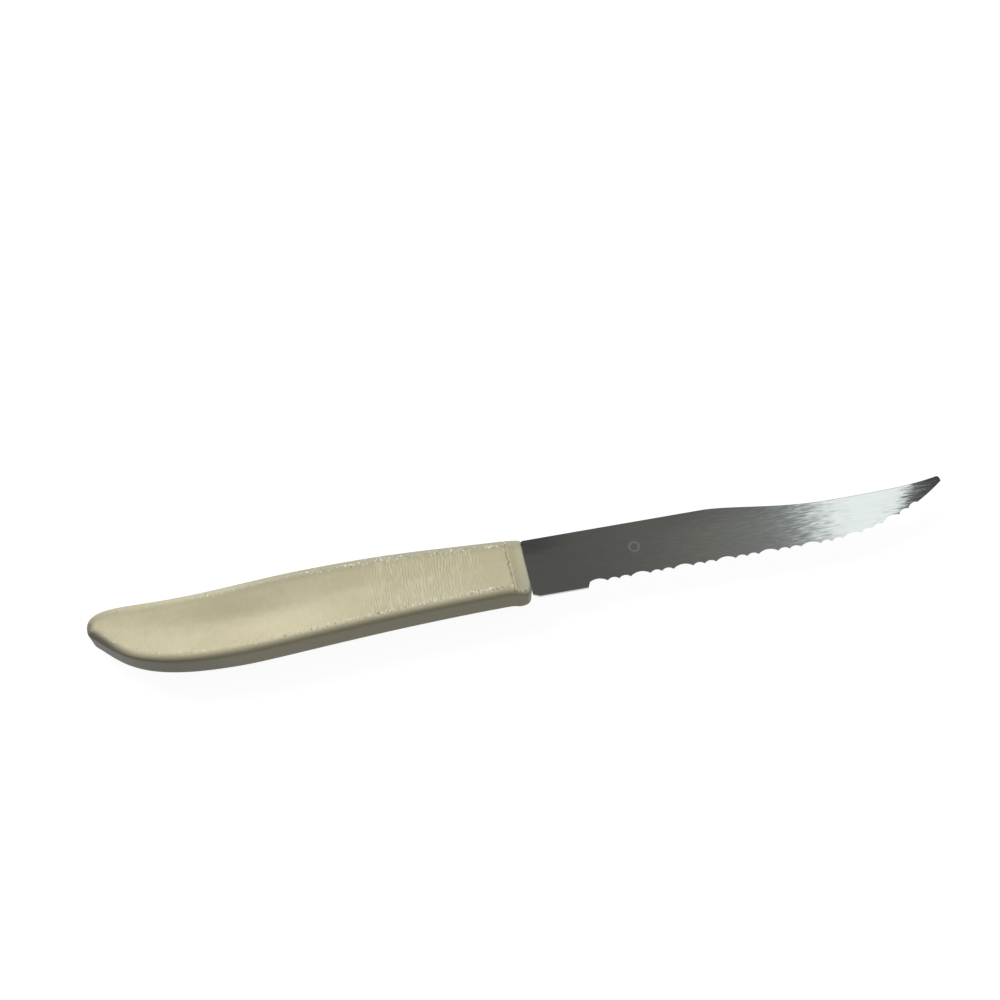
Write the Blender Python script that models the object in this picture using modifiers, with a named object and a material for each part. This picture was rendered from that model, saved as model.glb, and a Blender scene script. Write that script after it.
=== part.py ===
"""Serrated paring knife: a stamped steel blade held in a one-piece moulded handle.

The knife lies on one face of its handle. +X runs from the butt to the blade's tip, +Y from the
cutting edge to the spine, and +Z up through the thickness. Every outline is drawn in the knife's
own frame, whose origin is on the handle's front end at mid thickness, and an empty carries both
pieces so that the middle of the lowest plane of the whole knife is at the world origin.
"""

import math

import bmesh
import bpy
from mathutils import Matrix, Vector
from mathutils.geometry import interpolate_bezier

MM = 0.001
NAME = "paring_knife"

# Gap between pieces that touch
FIT_CLEARANCE = 0.3 * MM

# Handle, seen from above: stations are measured back from its front end, setbacks
# forward from its butt end, and offsets sideways from the knife's axis
HANDLE_LENGTH = 109.6 * MM
HANDLE_THICKNESS = 12.5 * MM
HANDLE_FILLET = 1.9 * MM
FRONT_SPINE_OFFSET = 6.95 * MM
FRONT_BELLY_OFFSET = 7.1 * MM
FRONT_TAPER = math.radians(3.0)
FRONT_SLANT = math.radians(3.3)
FRONT_DRAW = 0.75 * MM
FRONT_CORNER_RADIUS = 2.0 * MM
SWELL_STATION = 43.0 * MM
SWELL_OFFSET = 8.88 * MM
WAIST_SETBACK = 17.6 * MM
WAIST_OFFSET = 7.3 * MM
NOSE_OFFSET = 2.6 * MM
NOSE_DROP = 2.6 * MM
BUTT_SETBACK = 1.7 * MM
BUTT_SLANT = math.radians(43.0)
PALM_SETBACK = 35.6 * MM
PALM_OFFSET = 10.12 * MM
BELLY_RISE = math.radians(0.5)

# Toe: the belly side swells out a little at the front end
TOE_STATION = 5.8 * MM
TOE_RUN = 3.8 * MM
TOE_SWELL = 0.55 * MM

# Bends of the handle's outline: how far each keeps its heading at its start and at its
# end, as shares of the straight distance between its two points
FRONT_TO_SWELL = (0.5, 0.325)
SWELL_TO_WAIST = (0.55, 0.5)
WAIST_TO_NOSE = (0.58, 0.3)
NOSE_TO_BUTT = (0.5, 0.5)
BUTT_TO_PALM = (0.215, 0.67)
PALM_TO_TOE = (0.154, 0.497)
TOE_BEND = (0.45, 0.45)

# Lip: at the front end each face falls from a border to a low ledge, steeply on the
# belly side and gently on the spine side
LIP_LENGTH = 4.1 * MM
LIP_BELLY_RUN = 1.1 * MM
LIP_SPINE_RUN = 4.2 * MM
LIP_BELLY_DROP = 2.0 * MM
LIP_SPINE_DROP = 0.6 * MM

# Scoop: the leaf-shaped hollow in the rear half of each face
SCOOP_LENGTH = 68.0 * MM
SCOOP_WIDTH = 14.4 * MM
SCOOP_DEPTH = 1.4 * MM
SCOOP_SETBACK = 37.0 * MM
SCOOP_OFFSET = -1.0 * MM
SCOOP_CREASE = 0.3

# Blade: stations are measured forward from its shoulder, setbacks back from its tip
BLADE_LENGTH = 107.6 * MM
BLADE_THICKNESS = 1.0 * MM
SPINE_OFFSET = 7.9 * MM
SPINE_CORNER_RADIUS = 0.8 * MM
SPINE_DROP_SETBACK = 61.9 * MM
HOLLOW_SETBACK = 28.9 * MM
HOLLOW_OFFSET = 4.7 * MM
TIP_OFFSET = 5.1 * MM
TIP_RADIUS = 1.0 * MM
TIP_RISE = math.radians(10.0)
TIP_LAND = 0.4 * MM
HEEL_OFFSET = 7.2 * MM
HEEL_CHAMFER_RUN = 1.6 * MM
HEEL_CHAMFER_RISE = 0.7 * MM
BELLY_RADIUS = 56.0 * MM

# Bends of the blade's outline, given in the same way as the handle's
TIP_TO_TOP = (0.35, 0.35)
TOP_TO_HOLLOW = (0.26, 0.51)
HOLLOW_TO_DROP = (0.4, 0.22)

# Cutting edge: groups of one wide scallop and some narrow ones, ground into one side
PLAIN_HEEL = 13.95 * MM
FIRST_STEP_RUN = 0.6 * MM
PLAIN_TIP = 8.5 * MM
TOOTH_STEP = 0.95 * MM
WIDE_PITCH = 5.07 * MM
WIDE_DEPTH = 0.87 * MM
NARROW_PITCH = 2.93 * MM
NARROW_DEPTH = 0.62 * MM
NARROW_COUNT = 2
GRIND_WIDTH = 3.0 * MM

# Tang: the blade's narrow root inside the handle, with holes that the plastic fills
TANG_LENGTH = 62.0 * MM
TANG_HEIGHT = 9.0 * MM
TANG_END_RADIUS = 2.5 * MM
TANG_HOLE_RADIUS = 2.0 * MM
TANG_HOLE_STATION = 17.0 * MM
TANG_HOLE_SPACING = 30.0 * MM
TANG_HOLE_COUNT = 2

# How far cutters reach past what they cut, and how finely curves are stepped
OVERCUT = 3.0 * MM
CURVE_STEPS = 14
CORNER_STEPS = 6
FILLET_STEPS = 3
HOLE_STEPS = 28
WIDE_STEPS = 12
NARROW_STEPS = 8
LIP_STRIPS = 6
SCOOP_TURN_STEPS = 64
SCOOP_PROFILE_STEPS = 9
SCOOP_RIM = 1.25
WELD_DISTANCE = 0.005 * MM


def clear_scene():
    """Remove every object that the file opened with."""
    for obj in list(bpy.data.objects):
        bpy.data.objects.remove(obj, do_unlink=True)


def new_collection(name):
    """Add a collection under the scene's own."""
    collection = bpy.data.collections.new(name)
    bpy.context.scene.collection.children.link(collection)
    return collection


def new_material(name, colour, roughness, metallic):
    """A Principled material of one colour."""
    material = bpy.data.materials.new(name)
    material.use_nodes = True
    shader = material.node_tree.nodes["Principled BSDF"]
    shader.inputs["Base Color"].default_value = (*colour, 1.0)
    shader.inputs["Roughness"].default_value = roughness
    shader.inputs["Metallic"].default_value = metallic
    return material


def cream_plastic():
    """Slightly worn cream moulding plastic."""
    return new_material("cream_plastic", (0.66, 0.61, 0.45), 0.5, 0.0)


def stainless_steel():
    """Lengthwise ground stainless strip."""
    return new_material("stainless_steel", (0.52, 0.53, 0.54), 0.28, 1.0)


def arc(centre, radius, start, end, steps):
    """Points of a circular arc between two angles, both ends included."""
    angles = [start + (end - start) * step / steps for step in range(steps + 1)]
    return [(centre[0] + radius * math.cos(a), centre[1] + radius * math.sin(a)) for a in angles]


def bend(start, start_heading, end, end_heading, pulls, steps):
    """Points of a cubic curve that leaves start and reaches end along two headings.

    The pulls are the lengths of its two handles as shares of its chord, and the end point
    itself is left out.
    """
    leave = Vector((math.cos(start_heading), math.sin(start_heading)))
    reach = Vector((math.cos(end_heading), math.sin(end_heading)))
    first, last = Vector(start), Vector(end)
    chord = (last - first).length
    points = interpolate_bezier(
        first, first + leave * chord * pulls[0], last - reach * chord * pulls[1], last, steps + 1)
    return [(point.x, point.y) for point in points[:-1]]


def outline_mesh(name, loops, thickness, fillet=0.0):
    """A closed mesh of flat outlines given a thickness about z = 0, with rounded rims."""
    curve = bpy.data.curves.new(name, "CURVE")
    curve.dimensions = "2D"
    curve.fill_mode = "BOTH"
    curve.extrude = thickness / 2 - fillet
    curve.bevel_depth = fillet
    curve.bevel_resolution = FILLET_STEPS
    curve.offset = -fillet
    for loop in loops:
        spline = curve.splines.new("POLY")
        spline.points.add(len(loop) - 1)
        for point, (x, y) in zip(spline.points, loop):
            point.co = (x, y, 0.0, 1.0)
        spline.use_cyclic_u = True
    drawing = bpy.data.objects.new(name, curve)
    bpy.context.scene.collection.objects.link(drawing)
    evaluated = drawing.evaluated_get(bpy.context.evaluated_depsgraph_get())
    mesh = bpy.data.meshes.new_from_object(evaluated)
    mesh.name = name
    bpy.data.objects.remove(drawing, do_unlink=True)
    weld = bmesh.new()
    weld.from_mesh(mesh)
    bmesh.ops.remove_doubles(weld, verts=weld.verts, dist=WELD_DISTANCE)
    bmesh.ops.dissolve_degenerate(weld, dist=WELD_DISTANCE, edges=weld.edges)
    bmesh.ops.recalc_face_normals(weld, faces=weld.faces)
    weld.to_mesh(mesh)
    weld.free()
    return mesh


def add_piece(name, mesh, material, collection, parent):
    """Put a finished mesh in the model as one named, smooth-shaded piece."""
    piece = bpy.data.objects.new(name, mesh)
    mesh.materials.clear()
    mesh.materials.append(material)
    mesh.shade_smooth()
    mesh.set_sharp_from_angle(angle=math.radians(30.0))
    piece.parent = parent
    collection.objects.link(piece)
    return piece


def add_cutter(name, mesh, collection, piece):
    """Cut a piece with a mesh that is carried by it and never rendered."""
    cutter = bpy.data.objects.new(name, mesh)
    cutter.parent = piece
    cutter.hide_render = True
    cutter.display_type = "WIRE"
    collection.objects.link(cutter)
    cut = piece.modifiers.new(name, "BOOLEAN")
    cut.operation = "DIFFERENCE"
    cut.solver = "EXACT"
    cut.object = cutter
    return cutter


def tang_half_height(growth):
    """Half the tang's height, grown all round by a clearance."""
    return TANG_HEIGHT / 2 + growth


def tang_end_points(growth):
    """The tang's rear end from its spine side round to its edge side."""
    radius = TANG_END_RADIUS + growth
    rear = -TANG_LENGTH - growth
    half = tang_half_height(growth)
    quarter = math.pi / 2
    upper = arc((rear + radius, half - radius), radius, quarter, 2 * quarter, CORNER_STEPS)
    lower = arc((rear + radius, radius - half), radius, 2 * quarter, 3 * quarter, CORNER_STEPS)
    return upper + lower


def tang_holes(growth):
    """The holes through the tang, each a round loop of its own."""
    loops = []
    for index in range(TANG_HOLE_COUNT):
        station = TANG_HOLE_STATION + index * TANG_HOLE_SPACING
        loop = arc((-station, 0.0), TANG_HOLE_RADIUS + growth, 0.0, 2 * math.pi, HOLE_STEPS)
        loops.append(loop[:-1])
    return loops


def handle_outline():
    """The handle seen from above, drawn past its front end, which is trimmed later."""
    back, down, ahead = math.pi, -math.pi / 2, 0.0
    front_top = (0.0, FRONT_SPINE_OFFSET)
    swell = (-SWELL_STATION, SWELL_OFFSET)
    waist = (WAIST_SETBACK - HANDLE_LENGTH, WAIST_OFFSET)
    nose = (-HANDLE_LENGTH, NOSE_OFFSET)
    butt = (BUTT_SETBACK - HANDLE_LENGTH, NOSE_OFFSET - NOSE_DROP)
    palm = (PALM_SETBACK - HANDLE_LENGTH, -PALM_OFFSET)
    toe_root = (-TOE_STATION, -FRONT_BELLY_OFFSET)
    toe = (TOE_RUN - TOE_STATION, -FRONT_BELLY_OFFSET - TOE_SWELL)
    points = [(OVERCUT, toe[1]), (OVERCUT, FRONT_SPINE_OFFSET)]
    points += bend(front_top, back - FRONT_TAPER, swell, back, FRONT_TO_SWELL, CURVE_STEPS)
    points += bend(swell, back, waist, back, SWELL_TO_WAIST, CURVE_STEPS)
    points += bend(waist, back, nose, down, WAIST_TO_NOSE, CURVE_STEPS)
    points += bend(nose, down, butt, -BUTT_SLANT, NOSE_TO_BUTT, CORNER_STEPS)
    points += bend(butt, -BUTT_SLANT, palm, ahead, BUTT_TO_PALM, 2 * CURVE_STEPS)
    points += bend(palm, ahead, toe_root, BELLY_RISE, PALM_TO_TOE, CURVE_STEPS)
    points += bend(toe_root, ahead, toe, ahead, TOE_BEND, CORNER_STEPS)
    return points + [toe]


def front_x(y):
    """Where the handle's slanting front end is at an offset from the axis."""
    return -(y + FRONT_BELLY_OFFSET) * math.tan(FRONT_SLANT)


def front_trim_outline():
    """What is cut off ahead of the handle's front end.

    The cut leaves a round corner on the toe and draws the spine side gently in.
    """
    bottom = -FRONT_BELLY_OFFSET - TOE_SWELL
    radius = FRONT_CORNER_RADIUS
    reach = radius + (radius - TOE_SWELL) * math.sin(FRONT_SLANT)
    corner = (-reach / math.cos(FRONT_SLANT), bottom + radius)
    lower = arc(corner, radius, -math.pi / 2, FRONT_SLANT, CORNER_STEPS)
    draw = (LIP_LENGTH ** 2 + FRONT_DRAW ** 2) / (2 * FRONT_DRAW)
    start = front_x(FRONT_SPINE_OFFSET) - LIP_LENGTH
    top = FRONT_SPINE_OFFSET - start * math.tan(FRONT_TAPER)
    rise = top - draw + FRONT_BELLY_OFFSET
    ahead = math.cos(FRONT_SLANT) * start + math.sin(FRONT_SLANT) * rise
    meeting = FRONT_SLANT + math.acos(-ahead / draw)
    upper = arc((start, top - draw), draw, meeting, math.pi / 2, CORNER_STEPS)
    far = 2 * OVERCUT
    return lower + upper + [(start, top + OVERCUT), (far, top + OVERCUT),
                            (far, bottom - OVERCUT), (corner[0], bottom - OVERCUT)]


def lip_mesh(name, side):
    """What is cut off above the lip of one face, in strips from its belly to its spine side.

    Its border lies on the Y axis at z = 0, and the front end is on the +X side.
    """
    ends = (-FRONT_BELLY_OFFSET, FRONT_SPINE_OFFSET)
    first, last = ends[0] - OVERCUT, ends[1] + OVERCUT
    block = bmesh.new()
    sections = []
    for step in range(LIP_STRIPS + 1):
        y = first + (last - first) * step / LIP_STRIPS
        share = (y - ends[0]) / (ends[1] - ends[0])
        run = LIP_BELLY_RUN + (LIP_SPINE_RUN - LIP_BELLY_RUN) * share
        drop = LIP_BELLY_DROP + (LIP_SPINE_DROP - LIP_BELLY_DROP) * share
        front = LIP_LENGTH + OVERCUT
        profile = [(0.0, 0.0), (run, -drop), (front, -drop), (front, OVERCUT), (0.0, OVERCUT)]
        sections.append([block.verts.new((x, y, side * z)) for x, z in profile])
    for near, far in zip(sections[:-1], sections[1:]):
        for here, there in ((0, 1), (1, 2), (2, 3), (3, 4), (4, 0)):
            block.faces.new((near[here], near[there], far[there], far[here]))
    block.faces.new(sections[0])
    block.faces.new(sections[-1])
    slopes = [face for face in block.faces if len(face.verts) == 4]
    bmesh.ops.triangulate(block, faces=slopes)
    bmesh.ops.recalc_face_normals(block, faces=block.faces)
    mesh = bpy.data.meshes.new(name)
    block.to_mesh(mesh)
    block.free()
    return mesh


def scoop_mesh():
    """The profile of a scoop from its raised middle, out over its rim and in to its bottom.

    Turned about Z it is a unit dish, with a soft crease in place of a point at its middle.
    """
    def depth(ratio):
        rise = math.hypot(ratio, SCOOP_CREASE) - SCOOP_CREASE
        full = math.hypot(1.0, SCOOP_CREASE) - SCOOP_CREASE
        return SCOOP_DEPTH * (rise / full - 1.0)

    ratios = [SCOOP_RIM * step / SCOOP_PROFILE_STEPS for step in range(SCOOP_PROFILE_STEPS, -1, -1)]
    profile = [(0.0, 0.0, depth(SCOOP_RIM))] + [(ratio, 0.0, depth(ratio)) for ratio in ratios]
    mesh = bpy.data.meshes.new("scoop_cutter")
    edges = [(index, index + 1) for index in range(len(profile) - 1)]
    mesh.from_pydata(profile, edges, [])
    return mesh


def add_scoops(handle, cutters):
    """Hollow the rear half of both faces."""
    for side, name in ((1, "upper_scoop"), (-1, "lower_scoop")):
        cutter = add_cutter(name, scoop_mesh(), cutters, handle)
        turn = cutter.modifiers.new("turn", "SCREW")
        turn.steps = SCOOP_TURN_STEPS
        turn.render_steps = SCOOP_TURN_STEPS
        turn.use_merge_vertices = True
        turn.merge_threshold = WELD_DISTANCE
        cutter.scale = (SCOOP_LENGTH / 2, SCOOP_WIDTH / 2, 1.0)
        cutter.location = (SCOOP_SETBACK - HANDLE_LENGTH, SCOOP_OFFSET, side * HANDLE_THICKNESS / 2)
        if side < 0:
            cutter.rotation_euler.x = math.pi


def add_lips(handle, cutters):
    """Lower both faces at the front end."""
    for side, name in ((1, "upper_lip"), (-1, "lower_lip")):
        cutter = add_cutter(name, lip_mesh(name, side), cutters, handle)
        cutter.location = (front_x(0.0) - LIP_LENGTH, 0.0, side * HANDLE_THICKNESS / 2)
        cutter.rotation_euler.z = FRONT_SLANT


def make_handle(parts, cutters, assembly):
    """The moulded handle, with the pocket and pegs that hold the tang."""
    mesh = outline_mesh("handle", [handle_outline()], HANDLE_THICKNESS, HANDLE_FILLET)
    handle = add_piece("handle", mesh, cream_plastic(), parts, assembly)
    trim_mesh = outline_mesh("front_trim", [front_trim_outline()], HANDLE_THICKNESS + OVERCUT)
    add_cutter("front_trim", trim_mesh, cutters, handle)
    add_lips(handle, cutters)
    add_scoops(handle, cutters)
    half = tang_half_height(FIT_CLEARANCE)
    pocket = [(OVERCUT, -half), (OVERCUT, half)] + tang_end_points(FIT_CLEARANCE)
    pocket_mesh = outline_mesh("tang_pocket", [pocket] + tang_holes(-FIT_CLEARANCE),
                               BLADE_THICKNESS + 2 * FIT_CLEARANCE)
    cutter = add_cutter("tang_pocket", pocket_mesh, cutters, handle)
    cutter.location.x = FIT_CLEARANCE
    return handle


def blade_outline():
    """The blank of the blade and its tang, before its edge is ground."""
    up, back = math.pi / 2, math.pi
    half = tang_half_height(0.0)
    tip = (BLADE_LENGTH, TIP_OFFSET)
    top = (BLADE_LENGTH - TIP_RADIUS, TIP_OFFSET + TIP_RADIUS)
    hollow = (BLADE_LENGTH - HOLLOW_SETBACK, HOLLOW_OFFSET)
    drop = (BLADE_LENGTH - SPINE_DROP_SETBACK, SPINE_OFFSET)
    heel_rise = HEEL_CHAMFER_RISE - HEEL_OFFSET
    heel_x = front_x(-HEEL_OFFSET)
    points = [(front_x(-half), -half), (front_x(heel_rise), heel_rise)]
    points += [(heel_x + HEEL_CHAMFER_RUN, -HEEL_OFFSET), (BLADE_LENGTH, -HEEL_OFFSET)]
    points += bend(tip, up, top, back + TIP_RISE, TIP_TO_TOP, CORNER_STEPS)
    points += bend(top, back + TIP_RISE, hollow, back, TOP_TO_HOLLOW, CURVE_STEPS)
    points += bend(hollow, back, drop, back, HOLLOW_TO_DROP, CURVE_STEPS)
    points += [drop]
    corner_y = SPINE_OFFSET - SPINE_CORNER_RADIUS
    corner = (front_x(corner_y) + SPINE_CORNER_RADIUS, corner_y)
    points += arc(corner, SPINE_CORNER_RADIUS, up, back, CORNER_STEPS)
    points += [(front_x(half), half)] + tang_end_points(0.0)
    return points


class EdgePath:
    """The line that the tooth points lie on: straight, then one arc up to the tip."""

    def __init__(self):
        self.start_x = PLAIN_HEEL
        self.base_y = TOOTH_STEP - HEEL_OFFSET
        rise = TIP_OFFSET - TIP_LAND - self.base_y
        self.sweep = math.acos(1.0 - rise / BELLY_RADIUS)
        self.bend_x = BLADE_LENGTH - BELLY_RADIUS * math.sin(self.sweep)
        self.straight = self.bend_x - self.start_x
        self.length = self.straight + BELLY_RADIUS * self.sweep

    def point(self, distance):
        """The point at a distance along the line from the first scallop."""
        if distance <= self.straight:
            return Vector((self.start_x + distance, self.base_y))
        angle = (distance - self.straight) / BELLY_RADIUS
        return Vector((self.bend_x + BELLY_RADIUS * math.sin(angle),
                       self.base_y + BELLY_RADIUS * (1.0 - math.cos(angle))))


def scallop(first, last, depth, steps, skip=0.0):
    """Points of one scallop between two tooth points, the last left out.

    The arc starts only after the given run from the first tooth point.
    """
    chord = last - first
    radius = (chord.length_squared / 4 + depth ** 2) / (2 * depth)
    inward = Vector((-chord.y, chord.x)).normalized()
    centre = (first + last) / 2 + inward * (depth - radius)
    begin = math.atan2(first.y - centre.y, first.x - centre.x)
    end = math.atan2(last.y - centre.y, last.x - centre.x)
    if skip:
        begin = math.acos((first.x + skip - centre.x) / radius)
    return arc(centre, radius, begin, end, steps)[:-1]


def ground_edge_outline():
    """All that lies outside the finished cutting edge, as one outline."""
    path = EdgePath()
    group = [(WIDE_PITCH, WIDE_DEPTH, WIDE_STEPS)]
    group += [(NARROW_PITCH, NARROW_DEPTH, NARROW_STEPS)] * NARROW_COUNT
    floor = -HEEL_OFFSET - GRIND_WIDTH - 2 * OVERCUT
    points = [(PLAIN_HEEL, floor), (PLAIN_HEEL, -HEEL_OFFSET)]
    reached, count = 0.0, 0
    while reached + group[count % len(group)][0] <= path.length - PLAIN_TIP:
        pitch, depth, steps = group[count % len(group)]
        points += scallop(path.point(reached), path.point(reached + pitch), depth, steps,
                          0.0 if count else FIRST_STEP_RUN)
        reached += pitch
        count += 1
    plain = path.length + OVERCUT - reached
    points += [tuple(path.point(reached + plain * step / CURVE_STEPS))
               for step in range(CURVE_STEPS + 1)]
    right = BLADE_LENGTH + 2 * OVERCUT
    return points + [(right, points[-1][1]), (right, floor)]


def grinder_mesh():
    """The ground-away stock, leaning so that the bevel rises from the upper face's edge."""
    mesh = outline_mesh("edge_grinder", [ground_edge_outline()], BLADE_THICKNESS + 2 * OVERCUT)
    lean = Matrix.Identity(4)
    lean[1][2] = -GRIND_WIDTH / BLADE_THICKNESS
    lean[1][3] = GRIND_WIDTH / 2
    mesh.transform(lean)
    return mesh


def make_blade(parts, cutters, assembly):
    """The stamped blade and tang, with its scalloped edge ground from the lower side."""
    mesh = outline_mesh("blade", [blade_outline()] + tang_holes(0.0), BLADE_THICKNESS)
    blade = add_piece("blade", mesh, stainless_steel(), parts, assembly)
    blade.location.x = FIT_CLEARANCE
    add_cutter("edge_grinder", grinder_mesh(), cutters, blade)
    return blade


def make_assembly(parts):
    """The empty that stands the knife's box on the world origin."""
    assembly = bpy.data.objects.new("knife_axis", None)
    rear, front = -HANDLE_LENGTH, FIT_CLEARANCE + BLADE_LENGTH
    low = -PALM_OFFSET
    high = max(SWELL_OFFSET, SPINE_OFFSET)
    assembly.location = (-(rear + front) / 2, -(low + high) / 2, HANDLE_THICKNESS / 2)
    parts.objects.link(assembly)
    return assembly


def main():
    """Build both pieces."""
    clear_scene()
    parts = new_collection(NAME)
    cutters = new_collection("cutters")
    assembly = make_assembly(parts)
    make_handle(parts, cutters, assembly)
    make_blade(parts, cutters, assembly)


main()
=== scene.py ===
"""Looks of the serrated paring knife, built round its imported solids.

Shapes are drawn in the knife's own frame, in millimetres: x runs from the handle's front end
towards the blade's tip, y from the cutting edge to the spine, and z up from mid thickness.
Every finished mesh is in metres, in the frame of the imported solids.
"""

import logging
import math
from dataclasses import dataclass
from enum import Enum
from typing import Any, Callable, Sequence

import bpy
import numpy as np
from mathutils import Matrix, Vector
from mathutils.geometry import delaunay_2d_cdt, interpolate_bezier


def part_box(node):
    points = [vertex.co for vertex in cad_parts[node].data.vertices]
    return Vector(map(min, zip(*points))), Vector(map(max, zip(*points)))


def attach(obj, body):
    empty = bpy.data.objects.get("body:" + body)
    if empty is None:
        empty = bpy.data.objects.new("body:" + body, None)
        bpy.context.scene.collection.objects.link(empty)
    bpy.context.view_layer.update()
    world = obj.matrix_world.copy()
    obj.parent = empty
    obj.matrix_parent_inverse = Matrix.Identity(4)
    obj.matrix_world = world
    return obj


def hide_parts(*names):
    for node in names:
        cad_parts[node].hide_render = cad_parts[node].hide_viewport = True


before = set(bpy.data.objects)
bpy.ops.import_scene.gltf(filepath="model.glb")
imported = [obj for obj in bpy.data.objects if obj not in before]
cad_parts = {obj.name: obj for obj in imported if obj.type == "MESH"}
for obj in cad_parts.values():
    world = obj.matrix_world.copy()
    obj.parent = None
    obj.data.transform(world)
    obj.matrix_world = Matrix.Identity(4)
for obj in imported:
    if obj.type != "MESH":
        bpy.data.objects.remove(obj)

MM = 0.001
BODY = "root"
TINY = 1e-6

Pair = tuple[float, float]
Triple = tuple[float, float, float]
Relief = Callable[[np.ndarray], np.ndarray]


class Way(Enum):
    """Which end of a node tree its sockets are on."""

    IN = "INPUT"
    OUT = "OUTPUT"


class Data(Enum):
    """What a vertex attribute holds: its data type and the key of its values."""

    NUMBER = ("FLOAT", "value")
    VECTOR = ("FLOAT_VECTOR", "vector")


def bend(start: Pair, heading: float, end: Pair, end_heading: float, pulls: Pair,
         steps: int) -> np.ndarray:
    """Draw a cubic curve between two points.

    Args:
        start: First point.
        heading: Direction in which the curve leaves it, in degrees.
        end: Last point, which is left out of the result.
        end_heading: Direction in which the curve reaches it, in degrees.
        pulls: Lengths of the curve's two handles as shares of its chord.
        steps: How many pieces the curve is cut into.

    Returns:
        The points, one to a row.
    """
    leave, reach = (Vector((math.cos(math.radians(turn)), math.sin(math.radians(turn))))
                    for turn in (heading, end_heading))
    first, last = Vector(start), Vector(end)
    chord = (last - first).length
    points = interpolate_bezier(first, first + leave * chord * pulls[0],
                                last - reach * chord * pulls[1], last, steps + 1)
    return np.array([(point.x, point.y) for point in points[:-1]])


def arc(centre: Pair, radius: float, start: float, end: float, steps: int) -> np.ndarray:
    """Draw a circular arc between two angles in degrees, both ends included."""
    angles = np.radians(np.linspace(start, end, steps + 1))
    return np.stack([centre[0] + radius * np.cos(angles), centre[1] + radius * np.sin(angles)], 1)


def straight(start: Sequence[float], end: Sequence[float], spacing: float) -> np.ndarray:
    """Points on a straight line about a spacing apart, the last point left out."""
    first, last = np.array(start, float), np.array(end, float)
    count = max(1, round(float(np.linalg.norm(last - first)) / spacing))
    share = np.arange(count)[:, None] / count
    return first + (last - first) * share


def respaced(path: np.ndarray, spacing: float) -> np.ndarray:
    """Spread points evenly along an open path, about a spacing apart, both ends included."""
    steps = np.linalg.norm(np.diff(path, axis=0), axis=1)
    run = np.concatenate([[0.0], np.cumsum(steps)])
    even = np.linspace(0.0, run[-1], max(2, round(run[-1] / spacing) + 1))
    return np.stack([np.interp(even, run, path[:, 0]), np.interp(even, run, path[:, 1])], 1)


def inset(path: np.ndarray, distance: float) -> np.ndarray:
    """Move an open path sideways to its left."""
    along = np.gradient(path, axis=0)
    along /= np.linalg.norm(along, axis=1)[:, None]
    return path + np.stack([-along[:, 1], along[:, 0]], 1) * distance


def distance_to(path: np.ndarray, points: np.ndarray) -> np.ndarray:
    """Measure how far each point is from an open path.

    Args:
        path: The path's points.
        points: The points to measure.

    Returns:
        One distance for each point.
    """
    best = np.full(len(points), np.inf)
    for first, last in zip(path[:-1], path[1:]):
        way = last - first
        share = np.clip((points - first) @ way / max(float(way @ way), TINY ** 2), 0.0, 1.0)
        gap = points - first - share[:, None] * way
        best = np.minimum(best, np.einsum("ij,ij->i", gap, gap))
    return np.sqrt(best)


def inside(loop: np.ndarray, points: np.ndarray) -> np.ndarray:
    """Tell which points lie inside a closed loop.

    Args:
        loop: The loop's points.
        points: The points to test.

    Returns:
        True or False for each point.
    """
    within = np.zeros(len(points), bool)
    for (x0, y0), (x1, y1) in zip(loop, np.roll(loop, -1, axis=0)):
        if y0 == y1:
            continue
        spans = (y0 > points[:, 1]) != (y1 > points[:, 1])
        crossing = x0 + (points[:, 1] - y0) * (x1 - x0) / (y1 - y0)
        within ^= spans & (points[:, 0] < crossing)
    return within


def ease(value: np.ndarray, zero: float | np.ndarray, one: float | np.ndarray) -> np.ndarray:
    """Turn the range from one place to another into 0 to 1, eased and held at both ends."""
    share = np.clip((value - zero) / (one - zero), 0.0, 1.0)
    return share * share * (3.0 - 2.0 * share)


def bell(value: np.ndarray, width: float | np.ndarray) -> np.ndarray:
    """A soft peak of 1 where a value is 0."""
    return np.exp(-(value / width) ** 2)


def sunk(away: np.ndarray, radius: float | np.ndarray) -> np.ndarray:
    """How far a rim rounded to a radius has sunk at a distance from its edge."""
    short = radius - np.minimum(away, radius)
    return radius - np.sqrt(radius ** 2 - short ** 2)


def grid(low: Pair, high: Pair, pitch: Pair) -> np.ndarray:
    """Points of a rectangular grid with every other row set half a pitch along."""
    x, y = np.meshgrid(*(np.arange(low[axis], high[axis], pitch[axis]) for axis in (0, 1)))
    x[1::2] += pitch[0] / 2
    return np.stack([x.ravel(), y.ravel()], 1)


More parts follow.
